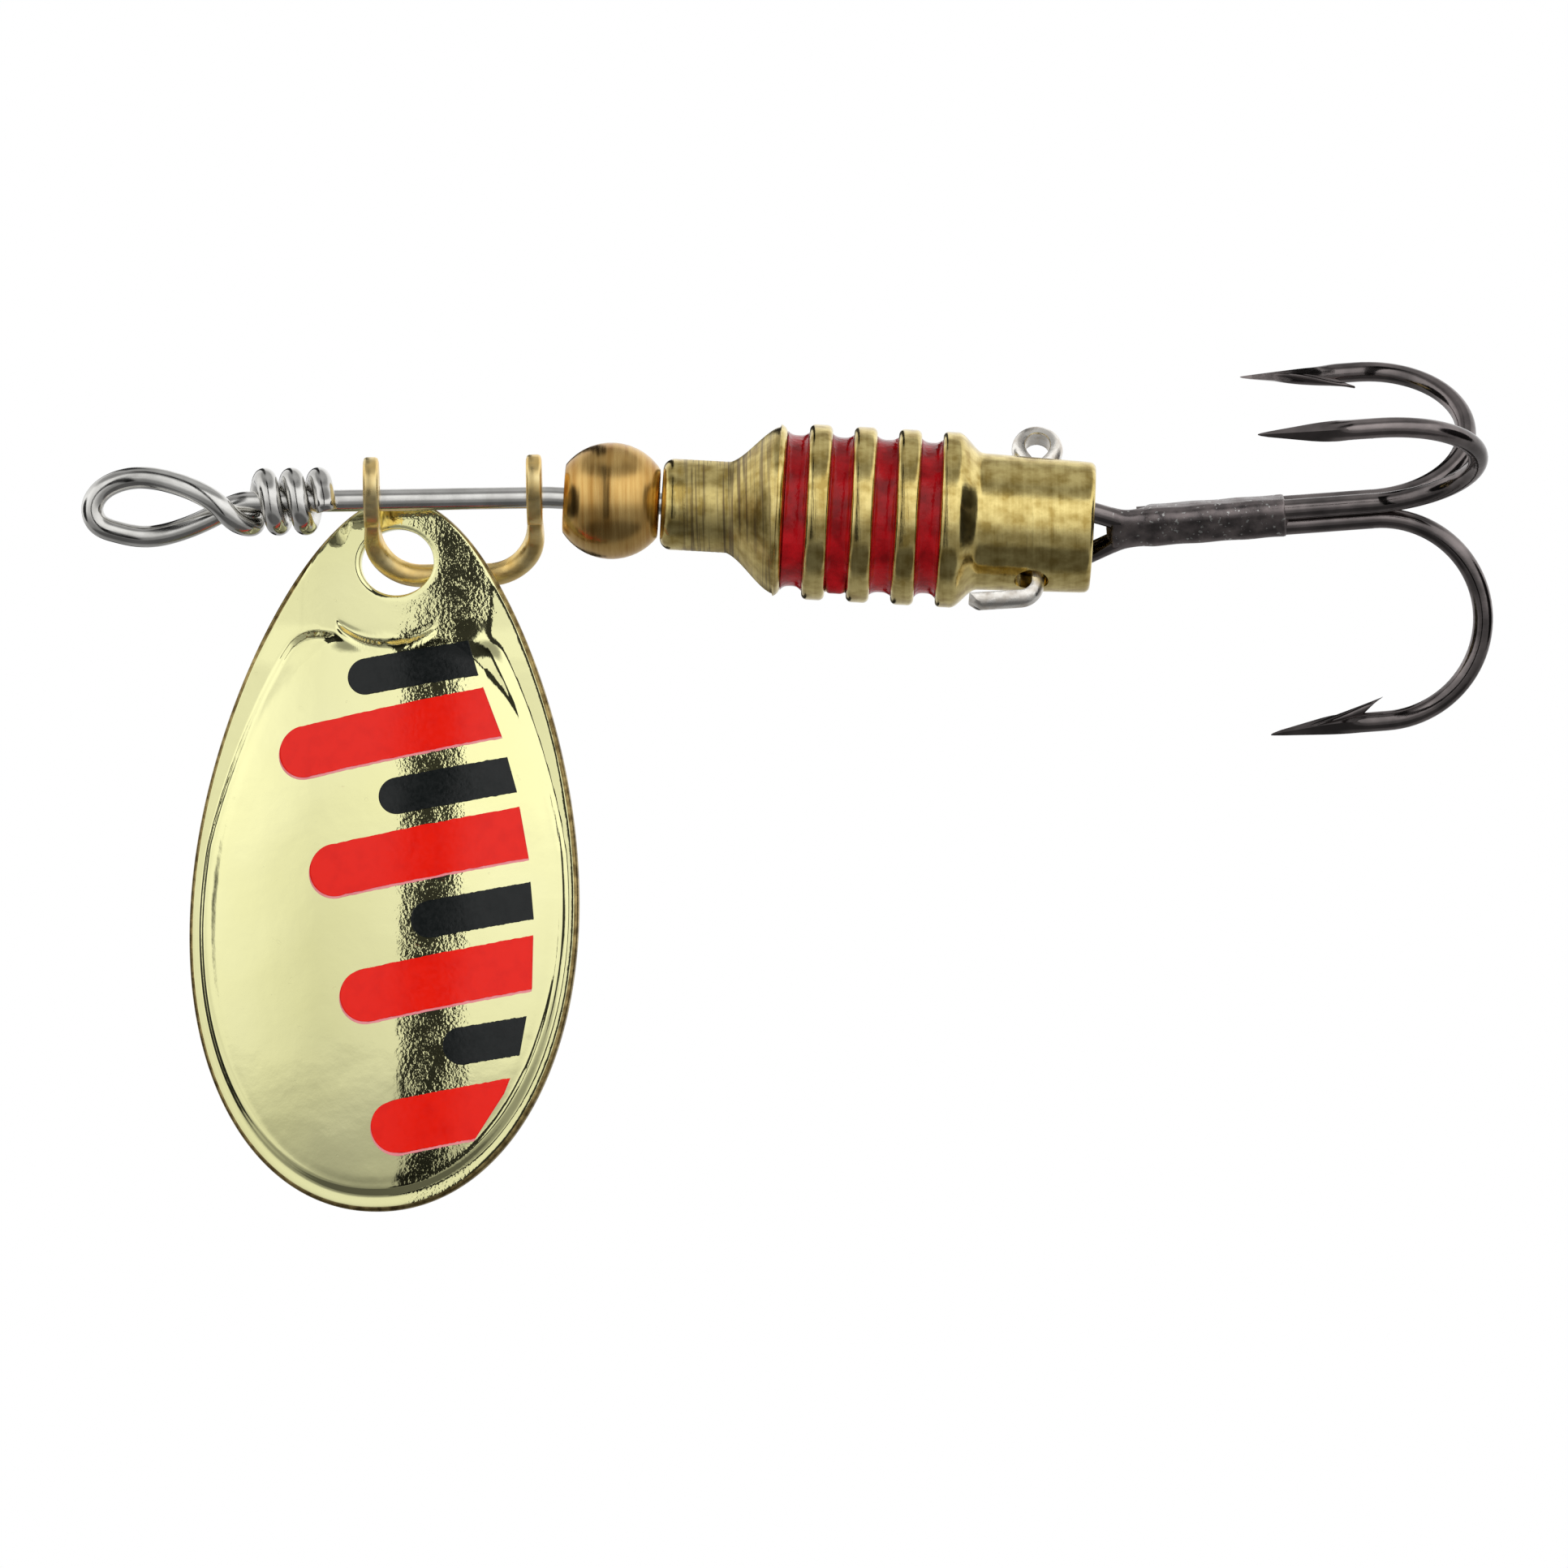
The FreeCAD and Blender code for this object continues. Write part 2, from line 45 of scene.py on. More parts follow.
MM = 0.001
camera_distance = 0.60
view_width = 67.8 * MM
view_centre = np.array([27.13, 0.0, -12.56]) * MM
camera_roll = math.radians(0.94)

lens_data = bpy.data.cameras.new("long_lens")
lens_data.sensor_width = 36.0
lens_data.lens = 36.0 * camera_distance / view_width
lens_data.clip_start = 0.01
camera = bpy.data.objects.new("long_lens", lens_data)
bpy.context.scene.collection.objects.link(camera)
right = Vector((math.cos(camera_roll), 0.0, -math.sin(camera_roll)))
upward = Vector((math.sin(camera_roll), 0.0, math.cos(camera_roll)))
back = right.cross(upward)
turn = Matrix((right, upward, back)).transposed().to_4x4()
place = Vector(view_centre) + back * camera_distance
camera.matrix_world = Matrix.Translation(place) @ turn
bpy.context.scene.camera = camera
bpy.context.scene.view_settings.view_transform = "Standard"


class Nodes:
    """Short way to add shader nodes and to join their sockets."""

    def __init__(self, tree):
        self.tree = tree

    def add(self, kind, inputs=(), **settings):
        """A node of this kind; inputs are (socket, value or output socket) pairs."""
        node = self.tree.nodes.new(kind)
        for key, value in settings.items():
            setattr(node, key, value)
        for socket, value in inputs:
            if isinstance(value, bpy.types.NodeSocket):
                self.tree.links.new(value, node.inputs[socket])
            else:
                node.inputs[socket].default_value = value
        return node

    def math(self, operation, first, second=0.0):
        """The output of a Math node."""
        node = self.add("ShaderNodeMath", [(0, first), (1, second)], operation=operation)
        return node.outputs[0]

    def band(self, value, low, high, soft):
        """One between low and high, falling to nothing over soft on each side."""
        rise = self.add("ShaderNodeMapRange", [("Value", value), ("From Min", low - soft),
                        ("From Max", low)], interpolation_type="SMOOTHSTEP")
        fall = self.add("ShaderNodeMapRange", [("Value", value), ("From Min", high),
                        ("From Max", high + soft), ("To Min", 1.0), ("To Max", 0.0)],
                        interpolation_type="SMOOTHSTEP")
        return self.math("MULTIPLY", rise.outputs[0], fall.outputs[0])


world = bpy.data.worlds.new("white_room")
world.use_nodes = True
bpy.context.scene.world = world
world.node_tree.nodes.clear()
room = Nodes(world.node_tree)
direction = room.add("ShaderNodeTexCoord").outputs["Generated"]
split = room.add("ShaderNodeSeparateXYZ", [(0, direction)])
side, depth, height = split.outputs[0], split.outputs[1], split.outputs[2]
facing = room.band(room.math("ABSOLUTE", depth), 0.30, 2.0, 0.35)
slot = room.band(side, -0.26, -0.10, 0.035)
slot = room.math("MULTIPLY", slot, room.band(height, -0.55, 0.90, 0.10))
ends = room.band(room.math("ABSOLUTE", side), 0.94, 1.2, 0.05)
dark = room.math("MAXIMUM", room.math("MULTIPLY", slot, facing), ends)


def brightness(value, stops):
    """A value looked up between stops of (place from 0 to 1, brightness)."""
    ramp = room.add("ShaderNodeValToRGB", [("Fac", value)])
    elements = ramp.color_ramp.elements
    for place, level in stops[2:]:
        elements.new(place)
    for element, (place, level) in zip(elements, stops):
        element.position = place
        element.color = (level, level, level, 1.0)
    return ramp.outputs[0]


rise = room.math("MULTIPLY_ADD", height, 0.5)
rise.node.inputs[2].default_value = 0.5
sweep = room.math("MULTIPLY_ADD", side, 0.5)
sweep.node.inputs[2].default_value = 0.5
in_front = brightness(rise, [(0.0, 0.10), (0.15, 0.10), (0.21, 0.26), (0.32, 0.28), (0.43, 0.52),
                             (0.49, 0.78), (0.62, 0.90), (0.68, 1.0), (0.83, 1.0), (0.885, 0.38),
                             (0.95, 0.26), (1.0, 0.45)])
behind = brightness(rise, [(0.0, 0.25), (0.30, 0.42), (0.43, 0.70), (0.52, 0.90), (0.68, 0.96),
                           (0.84, 0.80), (0.90, 0.40), (1.0, 0.45)])
across = brightness(sweep, [(0.0, 1.0), (0.08, 1.0), (0.125, 0.96), (0.22, 0.80), (0.34, 0.86),
                            (0.43, 0.96), (0.5, 1.0), (1.0, 1.0)])
toward = room.add("ShaderNodeMapRange", [("Value", depth), ("From Min", -0.12), ("From Max", 0.12)])
level = room.add("ShaderNodeMix", [(0, toward.outputs[0]), (2, in_front), (3, behind)])
glow = room.math("MULTIPLY", room.math("MULTIPLY", level.outputs[0], across), 1.10)
glow = room.math("MULTIPLY", glow, room.math("SUBTRACT", 1.0, room.math("MULTIPLY", dark, 0.97)))
studio = room.add("ShaderNodeBackground", [("Color", (1.0, 1.0, 1.0, 1.0)), ("Strength", glow)])
paper = room.add("ShaderNodeBackground", [("Color", (1.0, 1.0, 1.0, 1.0)), ("Strength", 1.0)])
seen = room.add("ShaderNodeLightPath").outputs["Is Camera Ray"]
mixed = room.add("ShaderNodeMixShader", [(0, seen), (1, studio.outputs[0]), (2, paper.outputs[0])])
room.add("ShaderNodeOutputWorld", [("Surface", mixed.outputs[0])])


def soft_box(name, where, size, power):
    """A square area lamp at a place in mm, aimed at the middle of the lure."""
    lamp = bpy.data.lights.new(name, "AREA")
    lamp.size = size * MM
    lamp.energy = power
    lamp.specular_factor = 0.0
    holder = bpy.data.objects.new(name, lamp)
    bpy.context.scene.collection.objects.link(holder)
    holder.location = Vector(where) * MM
    holder.visible_glossy = False
    aim = Vector(view_centre) - holder.location
    holder.rotation_euler = aim.to_track_quat("-Z", "Y").to_euler()


soft_box("key_box", (-260.0, -420.0, 330.0), 260.0, 0.35)
soft_box("fill_box", (380.0, -330.0, 120.0), 240.0, 0.25)
soft_box("back_box", (60.0, 420.0, 300.0), 300.0, 0.25)


def new_object(name, vertices, faces):
    """An object at the origin from vertices in mm and faces, smooth shaded."""
    mesh = bpy.data.meshes.new(name)
    mesh.from_pydata((vertices * MM).tolist(), [], faces)
    mesh.polygons.foreach_set("use_smooth", np.ones(len(faces), dtype=bool))
    mesh.update()
    thing = bpy.data.objects.new(name, mesh)
    bpy.context.scene.collection.objects.link(thing)
    return thing


def xyz(along, across, up):
    """Points from their three coordinates, each spread over the others' shape."""
    return np.stack(np.broadcast_arrays(along, across, up), axis=-1).astype(float)


floor_radius = 700.0
floor_drop = -95.0
floor_steps = 96
around = np.linspace(0, 2 * np.pi, floor_steps, endpoint=False)
floor_rings = np.array([0.4, 0.8, 1.0])[:, None] * floor_radius
floor_grid = xyz(floor_rings * np.cos(around) + 27.0, floor_rings * np.sin(around), floor_drop)
floor_index = np.arange(3 * floor_steps).reshape(-1, floor_steps)
floor_next = np.roll(floor_index, -1, axis=1)
floor_quads = np.stack([floor_index[1:], floor_next[1:], floor_next[:-1], floor_index[:-1]], axis=-1)
pale_floor = new_object("pale_floor", floor_grid.reshape(-1, 3),
                        [floor_index[0].tolist()] + floor_quads.reshape(-1, 4).tolist())
pale_floor.visible_glossy = False


class Finish(Nodes):
    """A procedural principled material whose patterns lie in Object coordinates."""

    def __init__(self, name, colour, metallic, roughness):
        self.material = bpy.data.materials.new(name)
        self.material.use_nodes = True
        self.material.diffuse_color = (*colour, 1.0)
        super().__init__(self.material.node_tree)
        self.shader = self.tree.nodes["Principled BSDF"]
        self.shader.inputs["Base Color"].default_value = (*colour, 1.0)
        self.shader.inputs["Metallic"].default_value = metallic
        self.shader.inputs["Roughness"].default_value = roughness
        self.place = self.add("ShaderNodeTexCoord").outputs["Object"]

    def feed(self, output, socket):
        """Join an output to one of the shader's sockets."""
        self.tree.links.new(output, self.shader.inputs[socket])

    def grain(self, scale, detail=4.0, stretch=(1.0, 1.0, 1.0)):
        """Noise from 0 to 1, scale in cells per mm, stretched along the axes."""
        mapped = self.add("ShaderNodeMapping", [("Vector", self.place),
                          ("Scale", tuple(scale * s / MM for s in stretch))])
        noise = self.add("ShaderNodeTexNoise", [("Vector", mapped.outputs[0]), ("Scale", 1.0),
                         ("Detail", detail)])
        return noise.outputs[0]

    def weigh(self, *parts):
        """The sum of patterns, each times its weight."""
        total = self.math("MULTIPLY", *parts[0])
        for part in parts[1:]:
            total = self.math("ADD", total, self.math("MULTIPLY", *part))
        return total

    def shade(self, factor, low, high, start=0.35, end=0.65):
        """A colour that goes from low to high as the factor goes from start to end."""
        ramp = self.add("ShaderNodeValToRGB", [("Fac", factor)])
        for element, place, colour in zip(ramp.color_ramp.elements, (start, end), (low, high)):
            element.position = place
            element.color = (*colour, 1.0)
        return ramp.outputs[0]

    def mixed(self, factor, first, second):
        """Two colours mixed by a factor."""
        node = self.add("ShaderNodeMix", [(0, factor), (6, first), (7, second)], data_type="RGBA")
        return node.outputs[2]

    def above(self, factor, limit):
        """One where the factor is above the limit."""
        return self.math("GREATER_THAN", factor, limit)

    def spread(self, factor, low, high, start=0.33, end=0.67):
        """A value that goes from low to high as the factor goes from start to end."""
        node = self.add("ShaderNodeMapRange", [("Value", factor), ("From Min", start),
                        ("From Max", end), ("To Min", low), ("To Max", high)])
        return node.outputs[0]

    def tone(self, factor, low, high, start=0.35, end=0.65):
        """The base colour goes from low to high with the factor."""
        self.feed(self.shade(factor, low, high, start, end), "Base Color")

    def gloss(self, factor, low, high):
        """The roughness goes from low to high with the factor."""
        self.feed(self.spread(factor, low, high), "Roughness")

    def bumps(self, factor, depth_mm, strength):
        """Relief of a depth in mm from a 0 to 1 factor."""
        node = self.add("ShaderNodeBump", [("Height", factor), ("Strength", strength),
                        ("Distance", depth_mm * MM)])
        self.feed(node.outputs[0], "Normal")


floor_paint = Finish("pale_floor", (0.86, 0.86, 0.85), 0.0, 0.65)
floor_paint.tone(floor_paint.grain(0.02), (0.84, 0.84, 0.83), (0.88, 0.88, 0.87))
pale_floor.data.materials.append(floor_paint.material)

# ---------------------------------------------------------------------------------------------
# Shaft wire: one bright stainless spring wire.  It is bent into a teardrop line eye, wound three
# turns round itself and cut, runs straight through the stirrup, and takes a slight bend before
# the bead; a peened head inside the body holds everything on.
# ---------------------------------------------------------------------------------------------

wire_dia = 0.95
wrap_start = 4.30
wrap_pitch = 1.17
wrap_turns = 2.9
coil_radius = wire_dia + 0.05
bend_place = 17.15
bend_radius = 8.0
droop = math.radians(4.13)
bore_floor = 18.225
ring_steps = 32


def swept_volume(vertices, faces):
    """Six times the signed volume inside the faces: each is a fan of triangles, and a triangle
    adds its first corner's product with the cross product of the other two."""
    corners = vertices[faces]
    return sum(np.einsum("ij,ij->", corners[:, 0], np.cross(corners[:, i], corners[:, i + 1]))
               for i in range(1, faces.shape[1] - 1))


def closed_surface(rings, start_pole=None, end_pole=None):
    """A closed skin over rings of points (stations, around, 3) in mm: quads between the rings,
    with a fan to a pole at each end, or joined end to end where there are no poles.  It is
    turned to face outward by the sign of its volume."""
    stations, count = rings.shape[:2]
    index = np.arange(stations * count).reshape(stations, count)
    vertices = rings.reshape(-1, 3)
    triangles = np.zeros((0, 3), dtype=int)
    if start_pole is None:
        index = np.vstack([index, index[:1]])
    nearby = np.roll(index, -1, axis=1)
    quads = np.stack([index[:-1], nearby[:-1], nearby[1:], index[1:]], axis=-1).reshape(-1, 4)
    if start_pole is not None:
        first = np.full(count, len(vertices))
        vertices = np.vstack([vertices, start_pole, end_pole])
        triangles = np.vstack([np.stack([first, nearby[0], index[0]], axis=-1),
                               np.stack([first + 1, index[-1], nearby[-1]], axis=-1)])
    step = -1 if swept_volume(vertices, quads) + swept_volume(vertices, triangles) < 0 else 1
    return vertices, quads[:, ::step].tolist() + triangles[:, ::step].tolist()


def make_piece(name, shells):
    """One object from several closed skins."""
    vertices = []
    faces = []
    start = 0
    for shell_vertices, shell_faces in shells:
        vertices.append(shell_vertices)
        faces += [tuple(start + i for i in face) for face in shell_faces]
        start += len(shell_vertices)
    return new_object(name, np.vstack(vertices), faces)


def carried_frames(path, first_normal):
    """Normals and binormals along a path; each normal is the last one with its part along the
    new tangent taken out, so the section doesn't twist."""
    tangent = np.gradient(path, axis=0)
    tangent /= np.linalg.norm(tangent, axis=1)[:, None]
    normal = np.empty_like(tangent)
    last = np.asarray(first_normal, dtype=float)
    for step, along in enumerate(tangent):
        last = last - along * (last @ along)
        last = last / np.linalg.norm(last)
        normal[step] = last
    return normal, np.cross(tangent, normal)


def circle(steps):
    """Cosines and sines of evenly spaced angles."""
    angle = np.linspace(0, 2 * np.pi, steps, endpoint=False)
    return np.cos(angle), np.sin(angle)


def tube_rings(path, reach, first_normal=(0.0, 1.0, 0.0), steps=ring_steps):
    """Rings about a path: centre plus reach times cosine and sine of the angle along the carried
    normal and binormal.  reach is one number, or one for each station, or for each point."""
    normal, binormal = carried_frames(path, first_normal)
    cosine, sine = circle(steps)
    spokes = cosine[None, :, None] * normal[:, None] + sine[None, :, None] * binormal[:, None]
    reach = np.asarray(reach, dtype=float)
    reach = reach[:, None] if reach.ndim == 1 else reach
    return path[:, None] + np.broadcast_to(reach, (len(path), steps))[..., None] * spokes


def smooth_line(points, count, start_direction=None):
    """A cubic spline through the points, by the lengths of its chords: the second derivatives
    come from one linear system, with the ends free or the first one pulled to a direction."""
    points = np.asarray(points, dtype=float)
    chord = np.concatenate([[0.0], np.cumsum(np.linalg.norm(np.diff(points, axis=0), axis=1))])
    gap = np.diff(chord)
    size = len(points)
    matrix = np.eye(size)
    rhs = np.zeros((size, 3))
    inner = np.arange(1, size - 1)
    matrix[inner, inner - 1] = gap[:-1]
    matrix[inner, inner] = 2 * (gap[:-1] + gap[1:])
    matrix[inner, inner + 1] = gap[1:]
    slope = np.diff(points, axis=0) / gap[:, None]
    rhs[1:-1] = 6 * np.diff(slope, axis=0)
    if start_direction is not None:
        matrix[0, :2] = (2 * gap[0], gap[0])
        rhs[0] = 6 * (slope[0] - np.asarray(start_direction, dtype=float))
    bend = np.linalg.solve(matrix, rhs)
    place = np.linspace(0, chord[-1], count)
    span = np.clip(np.searchsorted(chord, place, side="right") - 1, 0, size - 2)
    width = gap[span][:, None]
    up = ((place - chord[span])[:, None]) / width
    down = 1 - up
    return (points[span] * down + points[span + 1] * up
            + ((down ** 3 - down) * bend[span] + (up ** 3 - up) * bend[span + 1]) * width ** 2 / 6)


def smooth(value, low, high):
    """Nought below low, one above high and a cubic S between them."""
    share = np.clip((value - low) / (high - low), 0.0, 1.0)
    return share * share * (3 - 2 * share)


def behind_bend(points):
    """From the drooping line's own frame, which starts at the shaft's bend, to the lure's."""
    along, across, up = np.moveaxis(np.asarray(points, dtype=float), -1, 0)
    return xyz(along * math.cos(droop) + up * math.sin(droop) + bend_place, across,
               up * math.cos(droop) - along * math.sin(droop))


winding = np.linspace(0, wrap_turns, 73)
wound = xyz(wrap_start + wrap_pitch * winding, coil_radius * np.sin(2 * np.pi * winding),
            -coil_radius * np.cos(2 * np.pi * winding))
eye_route = [
    (wrap_start - 0.10, 0, 0), (wrap_start - 1.55, 0.03, -0.52), (wrap_start - 2.93, 0.02, -1.10),
    (-0.31, 0, -1.41), (-1.60, 0, -1.17), (-2.35, 0, -0.80), (-2.58, 0, -0.18), (-2.32, 0, 0.44),
    (-1.60, -0.03, 0.93), (-0.41, -0.15, 1.13), (wrap_start - 3.35, -0.50, 0.88),
    (wrap_start - 2.20, -0.88, 0.42), (wrap_start - 1.35, -1.00, -0.15),
    (wrap_start - 0.68, -0.75, -0.80)]
eye_line = smooth_line(np.vstack([eye_route, wound[::3]]), 700, (-1.0, 0.0, 0.0))
bend_setback = bend_radius * math.tan(droop / 2)
bend_angle = np.linspace(droop, 0, 12)
bend_arc = xyz(bend_place - bend_setback + bend_radius * np.sin(bend_angle), 0.0,
               bend_radius * (np.cos(bend_angle) - 1))
rear_run = behind_bend(xyz(np.linspace(bore_floor + 0.4, bend_setback, 30)[:-1], 0.0, 0.0))
front_run = np.linspace([bend_place - bend_setback, 0, 0], [wrap_start - 0.10, 0, 0], 40)[1:-1]
shaft_line = np.vstack([rear_run, bend_arc, front_run, eye_line])
last_direction = shaft_line[-1] - shaft_line[-2]
last_direction /= np.linalg.norm(last_direction)
shaft_radius = np.full(len(shaft_line), wire_dia / 2)
cut_steps = np.array([0.010, 0.014, 0.018])[:, None] * last_direction
shaft_line = np.vstack([shaft_line, shaft_line[-1] + cut_steps])
shaft_radius = np.concatenate([shaft_radius, wire_dia * np.array([0.47, 0.34, 0.16])])
shaft_rings = tube_rings(shaft_line, shaft_radius)
to_end = np.linalg.norm(shaft_line - shaft_line[-1], axis=1)
last_wrap = np.arange(len(shaft_line)) > len(shaft_line) - 60
near_end = (1 - smooth(to_end, 0.0, 1.3)) * last_wrap
frontness = 0.5 - (shaft_rings[..., 1] - shaft_line[:, None, 1]) / wire_dia
slice_back = near_end[:, None] * frontness
shaft_rings = shaft_rings - slice_back[..., None] * last_direction
shaft_ends = shaft_line[[0, -1]] - np.array([[0.0], [0.5]]) * last_direction
head_profile = [(0.0, 0.02), (0.0, 0.95), (0.06, 1.10), (0.42, 1.15), (0.60, 1.02), (0.70, 0.72)]


def turned_skin(profile, steps=96, loop=False):
    """A skin turned about the drooping line: each (along, radius) point swept round in a ring.
    An open profile closes on the axis at both ends; a loop closes on itself, round a bore."""
    along, radius = np.asarray(profile, dtype=float).T[..., None]
    cosine, sine = circle(steps)
    rings = behind_bend(xyz(along, radius * cosine, radius * sine))
    ends = [None, None] if loop else behind_bend(xyz(along[[0, -1], 0], 0.0, 0.0))
    return closed_surface(rings, *ends)


peened_head = turned_skin(np.array(head_profile) + [bore_floor, 0.0], 48)
shaft = make_piece("shaft_wire_drawn", [closed_surface(shaft_rings, *shaft_ends), peened_head])
steel = Finish("bright_stainless", (0.58, 0.57, 0.54), 1.0, 0.16)
streak = steel.grain(1.2, 5.0, (0.35, 3.0, 3.0))
steel.gloss(streak, 0.08, 0.22)
steel.tone(steel.grain(0.8), (0.62, 0.61, 0.58), (0.82, 0.81, 0.78))
steel.bumps(streak, 0.006, 0.5)
shaft.data.materials.append(steel.material)
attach(shaft, "shaft")
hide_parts("shaft_wire")

# ---------------------------------------------------------------------------------------------
# Clevis: a stirrup of brass wire whose two ends are coined flat, rounded and pierced for the
# shaft.  The wire between them stays round and runs in two easy corners; the blade hangs on it.
# ---------------------------------------------------------------------------------------------

tab_half = 1.25
tab_rise = 0.70
tab_hole = 0.575
front_tab = 9.508
rear_tab = 16.548
stirrup_wire = 1.0
coined_half = 0.92
stirrup_depth = 3.78
stirrup_corner = 2.1
stirrup_turn = math.radians(30.0)


def roll_about_x(points, angle):
    """Points turned about the X axis: Y and Z mixed by the angle's cosine and sine."""
    along, across, up = np.moveaxis(np.asarray(points, dtype=float), -1, 0)
    return xyz(along, across * math.cos(angle) - up * math.sin(angle),
               across * math.sin(angle) + up * math.cos(angle))


def coined_tab(place):
    """A flat plate about its bore: each ring is the bore's radius plus a share of the way to the
    outline, a stadium of two arcs and two straight sides, at one place across the thickness."""
    up, across = circle(96)
    cap = tab_rise * up + np.sqrt((tab_rise * up) ** 2 - tab_rise ** 2 + tab_half ** 2)
    straight = tab_half / np.maximum(np.abs(across), 1e-6)
    reach = np.where(cap * up >= tab_rise, cap, np.where(up > 0, straight, tab_half))
    share = np.array([0.0, 0.06, 0.3, 0.6, 0.85, 0.96, 1.0])[:, None]
    depth = np.array([0.27, 0.335, 0.325, 0.325, 0.335, 0.29, 0.19])[:, None]
    radius = tab_hole + np.vstack([share, share[::-1]]) * (reach[None] - tab_hole)
    rings = xyz(place + np.vstack([depth, -depth[::-1]]), radius * across, radius * up)
    vertices, faces = closed_surface(rings)
    return roll_about_x(vertices, stirrup_turn), faces


corner_angle = np.linspace(0, np.pi / 2, 18)
leg_top = -0.80
leg_end = -(stirrup_depth - stirrup_corner)
first_corner = xyz(front_tab + stirrup_corner * (1 - np.cos(corner_angle)), 0.0,
                   leg_end - stirrup_corner * np.sin(corner_angle))
last_corner = first_corner[::-1] * np.array([-1, 1, 1]) + np.array([front_tab + rear_tab, 0, 0])
stirrup_line = np.vstack([np.linspace([front_tab, 0, leg_top], [front_tab, 0, leg_end], 12)[:-1],
                          first_corner,
                          np.linspace(first_corner[-1], last_corner[0], 16)[1:-1],
                          last_corner,
                          np.linspace([rear_tab, 0, leg_end], [rear_tab, 0, leg_top], 12)[1:]])
run = np.concatenate([[0.0], np.cumsum(np.linalg.norm(np.diff(stirrup_line, axis=0), axis=1))])
from_tab = np.minimum(run, run[-1] - run)
round_share = smooth(from_tab, 0.15, 2.3)
thickness = 0.325 * (1 - round_share) + stirrup_wire / 2 * round_share
breadth = coined_half + (stirrup_wire / 2 - coined_half) * smooth(from_tab, 0.0, 1.5)
power = 0.34 + 0.66 * round_share
line_way = np.gradient(stirrup_line, axis=0)
line_way /= np.linalg.norm(line_way, axis=1)[:, None]
line_side = np.cross(np.array([0.0, 1.0, 0.0]), line_way)
cosine, sine = circle(40)
in_plane = np.sign(cosine) * np.abs(cosine) ** power[:, None] * thickness[:, None]
out_plane = np.sign(sine) * np.abs(sine) ** power[:, None] * breadth[:, None]
leg_rings = (stirrup_line[:, None] + in_plane[..., None] * line_side[:, None]
             + out_plane[..., None] * np.array([0.0, 1.0, 0.0]))
leg_skin = closed_surface(roll_about_x(leg_rings, stirrup_turn),
                          *roll_about_x(stirrup_line[[0, -1]], stirrup_turn))
clevis = make_piece("clevis_coined", [coined_tab(front_tab), coined_tab(rear_tab), leg_skin])
golden = Finish("clevis_brass", (0.56, 0.36, 0.12), 1.0, 0.22)
golden.tone(golden.grain(0.9, 6.0), (0.96, 0.66, 0.22), (0.99, 0.82, 0.42), 0.3, 0.7)
drawn = golden.grain(3.0, 6.0, (0.5, 2.0, 0.5))
golden.gloss(drawn, 0.26, 0.46)
golden.bumps(drawn, 0.014, 0.8)
clevis.data.materials.append(golden.material)
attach(clevis, "stirrup")
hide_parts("clevis")

# ---------------------------------------------------------------------------------------------
# Blade: a leaf blanked from gilt brass sheet, pierced, and stamped so that a panel inside a
# narrow flange stands up as a shallow dome; a smile-shaped mark lies under the hole.  It hangs
# by the hole, with its domed side and its printed bars to the front.
# ---------------------------------------------------------------------------------------------

blade_length = 31.0
blade_width = 17.2
blade_thick = 0.5
dome_high = 1.55
bevel_high = 0.24
hole_place = 2.81
hole_wide = 3.3
hole_high = 2.93
dome_half_wide = 7.85
dome_half_long = 12.3
dome_middle = hole_place - 5.6 - dome_half_long
panel_top = -3.05
blade_origin = np.array([10.558, 1.47, -2.6996])
blade_lean = math.radians(2.0)
blade_pitch = math.radians(-6.0)
blade_yaw = math.radians(-10.0)
bow_long = (dome_half_long ** 2 + dome_high ** 2) / (2 * dome_high)
bow_wide = (dome_half_wide ** 2 + dome_high ** 2) / (2 * dome_high)


def leaf_half_width(share):
    """Half the leaf's width at a share of its length from the top edge."""
    return (blade_width / 2 * np.sqrt(share) * (1 - share) ** 0.48
            * (1.50 + share - 0.28 * share ** 2))


def leaf_outline(count):
    """The leaf's edge as count points spaced evenly along it, with their outward normals."""
    share = 0.5 - 0.5 * np.cos(np.linspace(0, np.pi, 1500))
    wide = leaf_half_width(share)
    high = hole_place - share * blade_length
    edge = np.vstack([np.stack([wide, high], axis=-1), np.stack([-wide, high], axis=-1)[-2:0:-1]])
    ring = np.vstack([edge, edge[:1]])
    gone = np.concatenate([[0.0], np.cumsum(np.linalg.norm(np.diff(ring, axis=0), axis=1))])
    wanted = np.linspace(0, gone[-1], count, endpoint=False)
    points = np.stack([np.interp(wanted, gone, ring[:, i]) for i in range(2)], axis=-1)
    way = np.roll(points, -1, axis=0) - np.roll(points, 1, axis=0)
    normal = np.stack([-way[:, 1], way[:, 0]], axis=-1)
    normal *= np.sign(np.einsum("ij,ij->i", normal, points - [0.0, dome_middle]))[:, None]
    return points, normal / np.linalg.norm(normal, axis=1)[:, None]


def edge_distance(wide, high):
    """How far each point of the leaf is from its edge, the least over points of the outline."""
    outline = leaf_outline(900)[0]
    flat = np.stack([np.ravel(wide), np.ravel(high)], axis=-1)
    found = [np.sqrt(((part[:, None] - outline[None]) ** 2).sum(-1)).min(1)
             for part in np.array_split(flat, max(1, len(flat) // 4000))]
    return np.concatenate(found).reshape(np.shape(wide))


def soft_least(first, second, blend):
    """The lesser of two values, rounded where they come within blend of each other."""
    near = np.maximum(blend - np.abs(first - second), 0.0) / blend
    return np.minimum(first, second) - near * near * blend / 4


